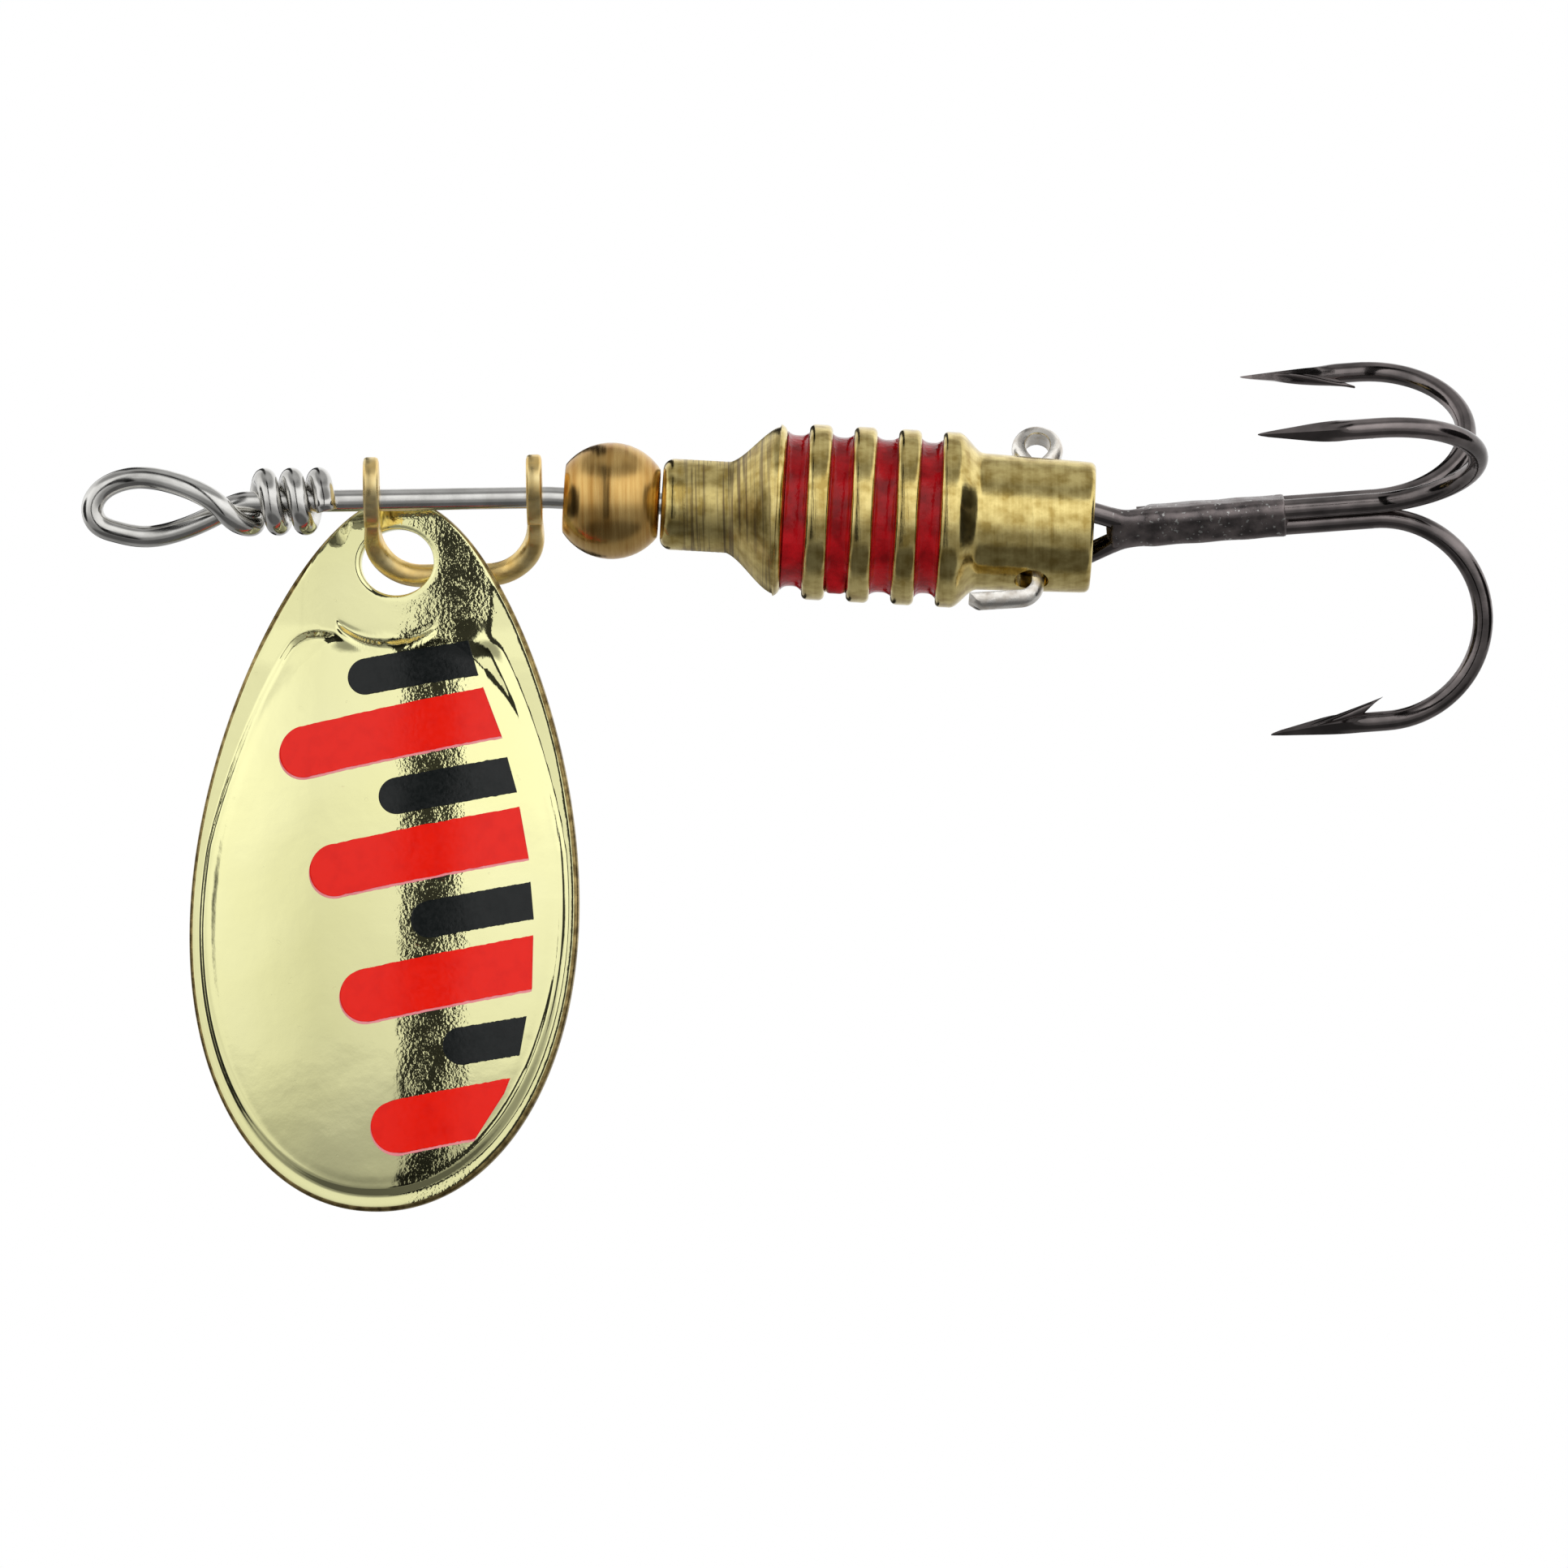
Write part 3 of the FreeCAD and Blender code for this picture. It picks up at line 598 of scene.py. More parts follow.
def relief(wide, high, crisp=1.0):
    """Height of the stamped sheet over its flat flange: a bevel round the panel, and the panel's
    dome, a barrel bowed across with one radius and along with another; a smile-shaped mark, a
    lip round the hole, and the head's slight crown.  crisp scales the mark."""
    rim = edge_distance(wide, high)
    flange = np.interp(high, [-28.2, -24.0, -16.0, -12.5, -8.5, -4.1, -2.6],
                       [0.62, 0.50, 0.46, 0.48, 0.74, 1.02, 1.15])
    ramp = np.interp(high, [-28.2, -20.0, -12.5, -6.0, -3.5], [0.42, 0.28, 0.24, 0.42, 0.55])
    inside = soft_least(rim - flange, panel_top - high + 0.012 * wide ** 2, 0.9)
    faint = 1 - 0.75 * smooth(high, -4.6, -3.2) * smooth(wide, -3.2, -1.9)
    bevel = bevel_high * smooth(inside / ramp, 0.0, 1.0) * faint
    bevel = bevel + bevel_high * (1 - faint) * smooth(-high, 3.0, 5.2)
    along = np.clip(high - dome_middle, -bow_long * 0.9, bow_long * 0.9)
    radius = bow_wide - (bow_long - np.sqrt(bow_long ** 2 - along ** 2))
    barrel = np.sqrt(np.maximum(radius ** 2 - wide ** 2, 0.0)) - (bow_wide - dome_high)
    barrel = np.maximum(barrel, 0.0) * smooth(inside, -0.05, 0.9)
    curve = -3.72 + 0.165 * (wide + 0.30) ** 2
    mark = (np.exp(-((high - curve) / 0.14) ** 2) * 0.11
            - np.exp(-((high - curve - 0.27) / 0.13) ** 2) * 0.08)
    mark = crisp * mark * smooth(2.30 - np.abs(wide + 0.35), 0.0, 0.4)
    crown = 0.12 - np.minimum(np.abs(wide), 4.2) ** 2 / 60
    crown = crown * smooth(high, -4.8, -2.6)
    hole = np.sqrt((wide / (hole_wide / 2)) ** 2 + (high / (hole_high / 2)) ** 2) - 1.0
    lip = -0.05 * np.exp(-(hole / 0.07) ** 2)
    dish = 0.007 * np.sin(1.3 * wide + 0.4) * np.sin(1.1 * high + 0.9) * smooth(-high, -2.0, 3.5)
    return bevel + barrel * (dome_high - bevel_high) / dome_high + mark + lip + crown + dish


def hang_blade(wide, depth, high):
    """From the blade's own frame (hole at the origin, tip down, dome to -Y) to its place: lean
    about Y, pitch about X, yaw about Z, then moved to the hole's centre on the stirrup."""
    along = wide * math.cos(blade_lean) + high * math.sin(blade_lean)
    up = high * math.cos(blade_lean) - wide * math.sin(blade_lean)
    across = depth * math.cos(blade_pitch) - up * math.sin(blade_pitch)
    up = depth * math.sin(blade_pitch) + up * math.cos(blade_pitch)
    turned_along = along * math.cos(blade_yaw) - across * math.sin(blade_yaw)
    turned_across = along * math.sin(blade_yaw) + across * math.cos(blade_yaw)
    return xyz(turned_along, turned_across, up) + blade_origin


edge_steps = 460
edge_points, edge_normals = leaf_outline(edge_steps)
bearing = np.arctan2(edge_points[:, 1], edge_points[:, 0])
hole_reach = 1 / np.sqrt((np.cos(bearing) / (hole_wide / 2)) ** 2
                         + (np.sin(bearing) / (hole_high / 2)) ** 2)
hole_points = np.stack([hole_reach * np.cos(bearing), hole_reach * np.sin(bearing)], axis=-1)
inset = np.array([2.1, 1.85, 1.65, 1.5, 1.36, 1.24, 1.12, 1.02, 0.94, 0.86, 0.78, 0.70, 0.62,
                  0.54, 0.46, 0.38, 0.28, 0.18, 0.10, 0.05])
room_left = np.linalg.norm(edge_points - hole_points, axis=1)
fit = np.minimum(1.0, 0.7 * room_left / inset[0])
outer_zone = edge_points[None] - edge_normals[None] * (inset[:, None] * fit[None])[..., None]
share = np.linspace(0.0, 1.0, 104)[:-1, None, None] ** 1.15
inner_zone = hole_points[None] * (1 - share) + outer_zone[:1] * share
face = np.concatenate([inner_zone, outer_zone])
front_high = relief(face[..., 0], face[..., 1])
thin = np.concatenate([np.arange(0, 103, 3), np.arange(103, 123, 2)])
half = blade_thick / 2
edge_roll = (0.008, 0.030, 0.062)
front_depth = -half - front_high
front_depth[-len(edge_roll):] += np.array(edge_roll)[:, None]
front = hang_blade(face[..., 0], front_depth, face[..., 1])
rear_high = relief(face[thin, :, 0], face[thin, :, 1], 0.15)
rear = hang_blade(face[thin, :, 0], half - 0.92 * rear_high, face[thin, :, 1])
rim_depth = np.array([-half + 0.11, -half + 0.20, 0.0, half - 0.16, half - 0.05])
rim_out = np.array([0.015, 0.0, 0.0, 0.0, 0.015])
rim = edge_points[None] - edge_normals[None] * rim_out[:, None, None]
rim_rings = hang_blade(rim[..., 0], rim_depth[:, None], rim[..., 1])
wall_depth = np.array([half - 0.06, 0.0, -half + 0.03])
wall_rings = hang_blade(hole_points[:, 0] * 0.985, wall_depth[:, None], hole_points[:, 1] * 0.985)
blade_rings = np.concatenate([front, rim_rings, rear[::-1], wall_rings])
blade = make_piece("blade_stamped", [closed_surface(blade_rings)])
gilt = Finish("blade_gilt", (0.80, 0.78, 0.40), 1.0, 0.10)
gilt.tone(gilt.grain(0.10, 3.0), (0.91, 0.89, 0.45), (0.96, 0.94, 0.53), 0.3, 0.7)
orange_peel = gilt.grain(4.0, 2.0)
pits = gilt.above(gilt.grain(2.2, 2.0), 0.74)
where = gilt.add("ShaderNodeSeparateXYZ", [(0, gilt.place)])
rubbed = gilt.band(where.outputs[0], 11.0 * MM, 12.9 * MM, 0.9 * MM)
rubbed_head = gilt.math("MULTIPLY", gilt.band(where.outputs[0], 12.4 * MM, 14.4 * MM, 0.6 * MM),
                        gilt.band(where.outputs[2], -5.0 * MM, -0.6 * MM, 0.5 * MM))
rubbed = gilt.math("MULTIPLY", gilt.math("MAXIMUM", rubbed, rubbed_head),
                   gilt.spread(gilt.grain(1.3, 4.0), 0.25, 1.0))
speckle = gilt.math("MULTIPLY", gilt.grain(8.0, 1.5), rubbed)
gilt.gloss(orange_peel, 0.03, 0.06)
gilt.bumps(gilt.weigh((orange_peel, 0.16), (gilt.grain(0.5, 2.0), 1.6), (speckle, 0.80), (pits, -0.30)),
           0.017, 1.0)
# The cut edge and the thin rounded band of the face next to it are painted much darker than the gilt.
# This is painted shade for the dark line round the outline, with a scuffed tone and bumps over it.
scuffed_edge_shade = Finish("scuffed_edge_painted_shade", (0.34, 0.25, 0.09), 1.0, 0.30)
scuff = scuffed_edge_shade.grain(3.0, 5.0, (1.0, 0.3, 1.0))
scuffed_edge_shade.tone(scuff, (0.16, 0.11, 0.04), (0.50, 0.38, 0.15), 0.35, 0.7)
scuffed_edge_shade.bumps(scuff, 0.02, 0.8)
for coat in (gilt, scuffed_edge_shade):
    blade.data.materials.append(coat.material)
# The faces of the rounded band and of the cut edge take the second material, the painted edge shade.
station = np.arange(len(blade.data.polygons)) // edge_steps
edge_shade_faces = (station >= len(face) - len(edge_roll)) & (station < len(face) + len(rim_rings))
blade.data.polygons.foreach_set("material_index", edge_shade_faces.astype(np.int32))
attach(blade, "spinner_blade")
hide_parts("blade")

# ---------------------------------------------------------------------------------------------
# Printed bars: four red and four black bars of glossy ink, a few hundredths thick, laid on the
# dome.  Each starts in a round end and rises a little to the rear, where one curve cuts them all;
# a pink undercoat shows below each red bar.
# ---------------------------------------------------------------------------------------------

ink_thick = 0.035
cut_high = [-3.2, -4.8, -7.5, -9.9, -12.8, -15.4, -18.4, -21.3, -23.0, -25.3]
cut_wide = [3.25, 3.83, 5.01, 5.80, 6.44, 6.76, 6.78, 6.33, 5.70, 4.30]
red_bars = [((-4.67, -8.68), (4.65, -6.47)), ((-3.00, -13.84), (6.27, -11.70)),
            ((-1.44, -19.24), (6.79, -17.31)), ((0.02, -24.82), (5.20, -23.65))]
black_bars = [((-1.82, -5.23), (3.58, -4.13)), ((-0.09, -10.47), (5.64, -9.20)),
              ((1.56, -15.81), (6.74, -14.64)), ((3.09, -21.20), (6.47, -20.49))]
red_half = 1.13
black_half = 0.80


def bar_skin(start, end, half_wide, lift, shift, grow, seed):
    """A film over the dome: rows across the bar run from its round left end to the cut curve;
    the top lies lift over the sheet, the foot just inside it, and the edges are a little ragged."""
    chance = np.random.default_rng(seed)
    rows, columns = 41, 110
    start = np.array(start) + shift
    end = np.array(end) + shift
    way = (end - start) / np.linalg.norm(end - start)
    over = np.array([-way[1], way[0]])
    reach = half_wide + grow
    across = np.sin(np.linspace(-np.pi / 2, np.pi / 2, rows)) * reach
    left = reach - np.sqrt(np.maximum(reach ** 2 - across ** 2, 0.0))
    round_end = start + way * left[:, None] + over * across[:, None]
    length = np.full(rows, np.linalg.norm(end - start))
    for _ in range(6):
        tip = start + way * length[:, None] + over * across[:, None]
        edge = np.interp(-tip[:, 1], -np.array(cut_high), cut_wide) + grow * 0.4
        length = length + (edge - tip[:, 0]) / way[0]
    share = np.linspace(0, 1, columns)[None, :, None]
    cut_end = start + way * length[:, None] + over * across[:, None]
    grid = round_end[:, None] * (1 - share) + cut_end[:, None] * share
    ragged = np.convolve(chance.normal(0, 1, columns + 4), np.ones(3) / 3, "same")[2:-2] * 0.016
    side = (across / reach)[:, None, None] ** 9
    grid = grid + over * ragged[None, :, None] * side
    sheet = relief(grid[..., 0], grid[..., 1])
    top = hang_blade(grid[..., 0], -blade_thick / 2 - sheet - lift, grid[..., 1])
    foot = hang_blade(grid[..., 0], -blade_thick / 2 - sheet + 0.03, grid[..., 1])
    index = np.arange(rows * columns).reshape(rows, columns)
    quads = np.stack([index[:-1, :-1], index[1:, :-1], index[1:, 1:], index[:-1, 1:]],
                     axis=-1).reshape(-1, 4)
    border = np.concatenate([index[0, :-1], index[:-1, -1], index[-1, :0:-1], index[:0:-1, 0]])
    after = np.roll(border, -1)
    count = rows * columns
    walls = np.stack([border, after, after + count, border + count], axis=-1)
    vertices = np.vstack([top.reshape(-1, 3), foot.reshape(-1, 3)])
    quads = np.vstack([quads, quads[:, ::-1] + count, walls])
    return vertices, quads[:, ::1 if swept_volume(vertices, quads) > 0 else -1].tolist()


def ink(name, colour, darker):
    """A glossy printed ink: a dielectric coat whose tone and gloss wander a little."""
    coat = Finish(name, colour, 0.0, 0.18)
    coat.tone(coat.grain(1.6, 5.0), darker, colour, 0.25, 0.55)
    fine = coat.grain(6.0, 3.0)
    coat.gloss(fine, 0.10, 0.24)
    coat.bumps(fine, 0.006, 0.8)
    coat.shader.inputs["Specular IOR Level"].default_value = 0.28
    return coat.material


def print_bars(name, bars, half_wide, lift, shift, grow, material, seed):
    """All the bars of one ink as one piece on the blade."""
    piece = make_piece(name, [bar_skin(start, end, half_wide, lift, shift, grow, seed + i)
                              for i, (start, end) in enumerate(bars)])
    piece.data.materials.append(material)
    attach(piece, "spinner_blade")


print_bars("red_bars", red_bars, red_half, ink_thick, (0.0, 0.0), 0.0,
           ink("print_red", (0.96, 0.014, 0.005), (0.88, 0.010, 0.004)), 11)
print_bars("pink_undercoat", red_bars, red_half, ink_thick * 0.4, (-0.03, -0.09), 0.02,
           ink("print_pink", (0.95, 0.34, 0.36), (0.90, 0.26, 0.30)), 31)
print_bars("black_bars", black_bars, black_half, ink_thick, (0.0, 0.0), 0.0,
           ink("print_black", (0.010, 0.012, 0.012), (0.006, 0.008, 0.008)), 51)

# ---------------------------------------------------------------------------------------------
# Bead: a ball turned from coppery brass with two small flats, bored through.  It spins on the
# rear run of the wire between the bend and the body.
# ---------------------------------------------------------------------------------------------

bead_start = 0.66
bead_length = 4.14
bead_radius = 2.52
bore_radius = 0.625
bead_middle = bead_start + bead_length / 2
flat_radius = math.sqrt(bead_radius ** 2 - (bead_length / 2) ** 2)
ball_angle = np.linspace(math.pi - math.acos(bead_length / 2 / bead_radius),
                         math.acos(bead_length / 2 / bead_radius), 90)
ball_wave = 0.0008 * np.sin(ball_angle * 45) + 0.0006 * np.sin(ball_angle * 71 + 1.0)
ball_side = np.stack([bead_middle + (bead_radius + ball_wave) * np.cos(ball_angle),
                      (bead_radius + ball_wave) * np.sin(ball_angle)], axis=-1)
bead_profile = np.vstack([[(bead_start + 0.10, bore_radius), (bead_start + 0.01, bore_radius + 0.08),
                           (bead_start, flat_radius - 0.30), (bead_start + 0.01, flat_radius - 0.08)],
                          ball_side[1:-1],
                          [(bead_start + bead_length - 0.01, flat_radius - 0.08),
                           (bead_start + bead_length, flat_radius - 0.30),
                           (bead_start + bead_length - 0.01, bore_radius + 0.08),
                           (bead_start + bead_length - 0.10, bore_radius)]])
bead = make_piece("bead_turned", [turned_skin(bead_profile, 128, loop=True)])
lathe_stretch = (1.0, 0.05, 0.05)
coppery = Finish("bead_brass", (0.46, 0.24, 0.075), 1.0, 0.22)
lines = coppery.grain(5.0, 6.0, lathe_stretch)
patches = coppery.grain(0.55, 4.0, (1.6, 0.6, 0.6))
coppery.tone(coppery.weigh((lines, 0.55), (patches, 0.45)), (0.50, 0.26, 0.060), (0.84, 0.56, 0.20),
             0.36, 0.62)
coppery.gloss(lines, 0.17, 0.29)
coppery.bumps(lines, 0.003, 0.8)
bead.data.materials.append(coppery.material)
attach(bead, "ball")
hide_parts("bead")

# ---------------------------------------------------------------------------------------------
# Body: one brass turning with a round-nosed neck, a flare, four ribs with rounded edges, four
# square grooves and a rear sleeve, bored for the wire in front and for the hook's eye behind,
# and drilled across for the split pin.
# ---------------------------------------------------------------------------------------------

nose_place = 4.90
neck_radius = 1.975
neck_length = 2.9
flare_length = 2.4
shoulder_radius = 3.65
rings_place = 10.20
groove_wide = 0.93
rib_wide = 1.0
rib_radius = 3.80
groove_radius = 3.10
rear_place = 18.72
sleeve_radius = 2.96
sleeve_taper = 0.135
body_end = 23.57
sleeve_bore = 2.30
pin_along = 21.02
pin_bore = 0.74
pin_roll = math.radians(31.0)


def quarter(centre_along, centre_radius, radius, start, end, count=6):
    """Points of a small arc in the turning's profile, by angle from +along, in degrees."""
    turn = np.radians(np.linspace(start, end, count))
    return [(centre_along + radius * math.cos(t), centre_radius + radius * math.sin(t)) for t in turn]


body_profile = [(nose_place + 0.05, bore_radius + 0.02), (nose_place, bore_radius + 0.10),
                (nose_place, neck_radius - 0.62)]
body_profile += quarter(nose_place + 0.5, neck_radius - 0.5, 0.5, 180, 90, 9)
neck_run = np.linspace(nose_place + 0.7, nose_place + neck_length - 0.1, 18)
body_profile += [(p, neck_radius - 0.004 + 0.004 * math.sin(p * 23.0)) for p in neck_run]
for share in np.linspace(0.0, 1.0, 26):
    rise = share ** 2 * (3 - 2 * share) * 0.55 + share * 0.45
    body_profile.append((nose_place + neck_length + flare_length * share * 0.86,
                         neck_radius + (shoulder_radius - 0.03 - neck_radius) * rise))
body_profile += quarter(rings_place - 0.46, shoulder_radius - 0.36, 0.46, 70, 0, 9)
for index in range(4):
    groove = rings_place + index * (groove_wide + rib_wide)
    rib = groove + groove_wide
    body_profile += [(groove, groove_radius + 0.25), (groove + 0.02, groove_radius),
                     (rib - 0.02, groove_radius), (rib, groove_radius + 0.25)]
    edge = 0.26 if index < 3 else 0.22
    body_profile += quarter(rib + edge, rib_radius - edge, edge, 180, 90, 7)
    if index < 3:
        body_profile += quarter(rib + rib_wide - edge, rib_radius - edge, edge, 90, 0, 7)
for share in np.linspace(0.0, 1.0, 18):
    drop = share ** 2 * (3 - 2 * share)
    body_profile.append((rib + (rear_place - rib) * (0.35 + 0.65 * share),
                         rib_radius - (rib_radius - sleeve_radius) * drop))
for place in np.linspace(rear_place + 0.15, body_end - 0.45, 30):
    gone = (place - rear_place) / (body_end - rear_place)
    body_profile.append((place, sleeve_radius - sleeve_taper * gone))
body_profile += quarter(body_end - 0.28, sleeve_radius - sleeve_taper - 0.28, 0.28, 80, 0, 7)
body_profile += [(body_end, sleeve_bore + 0.10), (body_end - 0.08, sleeve_bore)]
body_profile += [(p, sleeve_bore) for p in np.linspace(body_end - 0.5, bore_floor + 0.1, 20)]
body_profile += [(bore_floor, sleeve_bore - 0.1), (bore_floor, bore_radius + 0.1),
                 (bore_floor - 0.1, bore_radius)]


def pierced(piece, centre, way, radius, reach):
    """The piece with a round hole cut through it by a cylinder along way; the cutter is removed."""
    way = np.asarray(way) / np.linalg.norm(way)
    line = np.asarray(centre)[None] + np.linspace(-reach, reach, 2)[:, None] * way
    cutter = new_object("cutter", *closed_surface(tube_rings(line, radius, (1.0, 0.0, 0.0), 72), *line))
    cut = piece.modifiers.new("hole", "BOOLEAN")
    cut.operation = "DIFFERENCE"
    cut.solver = "EXACT"
    cut.object = cutter
    found = piece.evaluated_get(bpy.context.evaluated_depsgraph_get())
    mesh = bpy.data.meshes.new_from_object(found)
    piece.modifiers.clear()
    piece.data = mesh
    bpy.data.objects.remove(cutter)


body = make_piece("body_turned", [turned_skin(body_profile, 144, loop=True)])
pin_middle = behind_bend([pin_along, 0.0, 0.0])
pin_way = behind_bend([pin_along, math.sin(pin_roll), math.cos(pin_roll)]) - pin_middle
pierced(body, pin_middle, pin_way, pin_bore, 5.0)
body.data.set_sharp_from_angle(angle=math.radians(38))
brass = Finish("body_brass", (0.58, 0.45, 0.15), 1.0, 0.26)
lines = brass.grain(4.0, 6.0, lathe_stretch)
blotch = brass.grain(1.4, 7.0, (1.0, 1.3, 1.3))
brass_tone = brass.shade(brass.weigh((lines, 0.35), (blotch, 0.65)), (0.50, 0.36, 0.10),
                         (0.92, 0.75, 0.30), 0.38, 0.60)
along = brass.add("ShaderNodeSeparateXYZ", [(0, brass.place)]).outputs[0]
lathe = brass.band(along, 23.6 * MM, 26.2 * MM, 1.2 * MM)
marks = brass.spread(brass.grain(11.0, 3.0, (1.0, 0.02, 0.02)), 0.0, 1.0, 0.50, 0.62)
cuts = brass.math("MULTIPLY", brass.math("MULTIPLY", lathe, marks), 0.75)
brass.feed(brass.mixed(cuts, brass_tone, (0.20, 0.14, 0.08, 1.0)), "Base Color")
wear = brass.weigh((lines, 0.6), (blotch, 0.4))
dulled = brass.math("ADD", brass.spread(wear, 0.09, 0.22), brass.math("MULTIPLY", lathe, 0.24))
brass.feed(dulled, "Roughness")
brass.bumps(wear, 0.026, 0.9)
body.data.materials.append(brass.material)
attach(body, "weight")
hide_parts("body")

# ---------------------------------------------------------------------------------------------
# Groove lacquer: glossy crimson enamel run into each groove by hand.  It climbs the walls, its
# level wanders round the groove, and here and there it stands in a drop.
# ---------------------------------------------------------------------------------------------

enamel_thick = 0.16
enamel_drops = [(0, 0.4, 0.06, 0.7), (1, -2.75, 0.42, 0.22), (1, 2.2, 0.08, 0.6), (2, -0.7, 0.09, 0.8),
                (2, 1.2, 0.07, 0.6), (3, -1.3, 0.10, 0.7), (3, 0.9, 0.06, 0.8), (0, -2.2, 0.10, 0.6)]


def enamel_ring(index):
    """One ring: across the groove its surface is a shallow trough, and round it the level is a
    few slow waves plus the drops, each a bell curve of the angle."""
    around = np.linspace(-np.pi, np.pi, 160, endpoint=False)
    level = 0.035 * np.sin(2 * around + index) + 0.025 * np.sin(5 * around + 2.3 * index)
    for ring, where, tall, wide in enamel_drops:
        if ring == index:
            gap = (around - where + np.pi) % (2 * np.pi) - np.pi
            level = level + tall * np.exp(-(gap / wide) ** 2)
    across = np.linspace(-1.0, 1.0, 15)
    trough = 0.20 * np.abs(across) ** 3
    top = groove_radius + enamel_thick * 0.9 + level[None] * (1 - across[:, None] ** 4) + trough[:, None]
    start = rings_place + index * (groove_wide + rib_wide)
    place = start + groove_wide / 2 * (1 + across * 0.995)
    outer = xyz(place[:, None], top * np.sin(around), top * np.cos(around))
    low = groove_radius - 0.01
    inner = xyz(place[::-1, None], low * np.sin(around), low * np.cos(around))
    return closed_surface(behind_bend(np.concatenate([outer, inner])))


lacquer = make_piece("groove_lacquer_run", [enamel_ring(index) for index in range(4)])
enamel = Finish("red_enamel", (0.33, 0.004, 0.012), 0.0, 0.12)
enamel.tone(enamel.grain(1.2, 5.0), (0.24, 0.003, 0.005), (0.50, 0.007, 0.012))
fine = enamel.grain(3.0, 4.0)
enamel.gloss(fine, 0.03, 0.09)
enamel.bumps(fine, 0.04, 0.8)
enamel.shader.inputs["Specular IOR Level"].default_value = 0.27
lacquer.data.materials.append(enamel.material)
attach(lacquer, "weight")
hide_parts("groove_lacquer")

# ---------------------------------------------------------------------------------------------
# Split pin: tinned half-round wire doubled on itself.  It is looped above the sleeve, goes down
# through the sleeve and the hook's eye, and its rear leg is folded forward under the sleeve.
# ---------------------------------------------------------------------------------------------

pin_radius = 0.50
loop_place = 3.8225
loop_inner = 0.55
fold_place = -3.0925
fold_radius = 0.55
fold_turn = math.radians(82.0)
foot_length = 2.2
pin_points = [(-0.012, -1.90), (-0.012, -0.50), (-0.012, 1.00), (-0.012, 2.40), (-0.10, 2.95),
              (-0.43, 3.40), (-loop_inner, loop_place), (-0.39, loop_place + 0.39),
              (0.0, loop_place + loop_inner), (0.39, loop_place + 0.39), (loop_inner, loop_place),
              (0.43, 3.40), (0.10, 2.95), (0.012, 2.40), (0.012, 1.00), (0.012, -0.50),
              (0.012, -1.90), (0.0, fold_place + 0.6), (0.0, fold_place)]
pin_path = smooth_line([(x, 0.0, z) for x, z in pin_points], 260)
knee = np.linspace(0, fold_turn, 18)[1:]
knee_path = xyz(fold_radius * np.cos(knee) - fold_radius, 0.0, fold_place - fold_radius * np.sin(knee))
foot_way = np.array([-math.sin(fold_turn), 0.0, -math.cos(fold_turn)])
foot_path = knee_path[-1] + foot_way * np.linspace(0, foot_length, 14)[1:, None]
pin_path = np.vstack([pin_path, knee_path, foot_path])
pin_tangent = np.gradient(pin_path, axis=0)
pin_tangent /= np.linalg.norm(pin_tangent, axis=1)[:, None]
bulge_way = xyz(-pin_tangent[:, 2], 0.0, pin_tangent[:, 0])
bow = np.linspace(0, np.pi, 22)
half_round = np.vstack([np.stack([np.cos(bow), np.maximum(np.sin(bow), 0.05) * 1.12], axis=-1),
                        np.linspace([-0.94, 0.0], [0.94, 0.0], 10)]) * pin_radius
slant = np.zeros((len(pin_path), 1, 1))
slant[-6:, 0, 0] = np.linspace(0.0, 0.55, 6)
slant[:3, 0, 0] = np.linspace(-0.3, 0.0, 3)
pin_rings = (pin_path[:, None] + half_round[None, :, 1:] * bulge_way[:, None]
             + half_round[None, :, :1] * np.array([0.0, 1.0, 0.0])
             - pin_tangent[:, None] * half_round[None, :, 1:] * slant * 1.6)
pin_ends = pin_path[[0, -1]] + bulge_way[[0, -1]] * 0.2


def place_pin(points):
    """Rolled about the body's axis, moved along it to the cross hole, then behind the bend."""
    return behind_bend(roll_about_x(points, -pin_roll) + np.array([pin_along, 0.0, 0.0]))


pin = make_piece("split_pin_bent", [closed_surface(place_pin(pin_rings), *place_pin(pin_ends))])
pin.data.set_sharp_from_angle(angle=math.radians(50))
tin = Finish("pin_steel", (0.66, 0.65, 0.61), 1.0, 0.26)
crust = tin.grain(2.4, 6.0)
tin.tone(crust, (0.78, 0.71, 0.62), (0.98, 0.95, 0.89), 0.3, 0.6)
tin.gloss(crust, 0.42, 0.18)
tin.bumps(crust, 0.03, 0.8)
pin.data.materials.append(tin.material)
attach(pin, "weight")
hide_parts("split_pin")

# ---------------------------------------------------------------------------------------------
# Treble: the pair is one black-nickelled wire bent into the eye, two strands of the shank and two
# hooks; the third hook is a straight strand laid in their groove.  The points are knife-cut to
# four facets and each barb is a sliver raised from the wire.
# ---------------------------------------------------------------------------------------------

hook_radius = 0.44
side_step = 0.42
plane_drop = side_step / math.sqrt(3.0)
single_rise = 0.5535
strand_ring = 2 * plane_drop
shank_length = 14.7
hook_bend = 4.45
point_length = 5.06
barb_back = 4.95
barb_rise = 0.62
eye_half = 1.39
eye_front = -1.48
eye_side = 1.9
eye_close = 1.5
braze_start = 4.5
braze_end = 11.05
hook_roll = math.radians(50.0)
hook_rise = math.radians(3.27)
hook_middle = pin_middle + np.array([0.0, 0.0, -0.34])


def place_treble(points):
    """Rolled about the shank, raised to its slope, and moved to the pin's middle."""
    rolled = roll_about_x(points, -hook_roll)
    along, across, up = np.moveaxis(rolled, -1, 0)
    return xyz(along * math.cos(hook_rise) - up * math.sin(hook_rise), across,
               up * math.cos(hook_rise) + along * math.sin(hook_rise)) + hook_middle


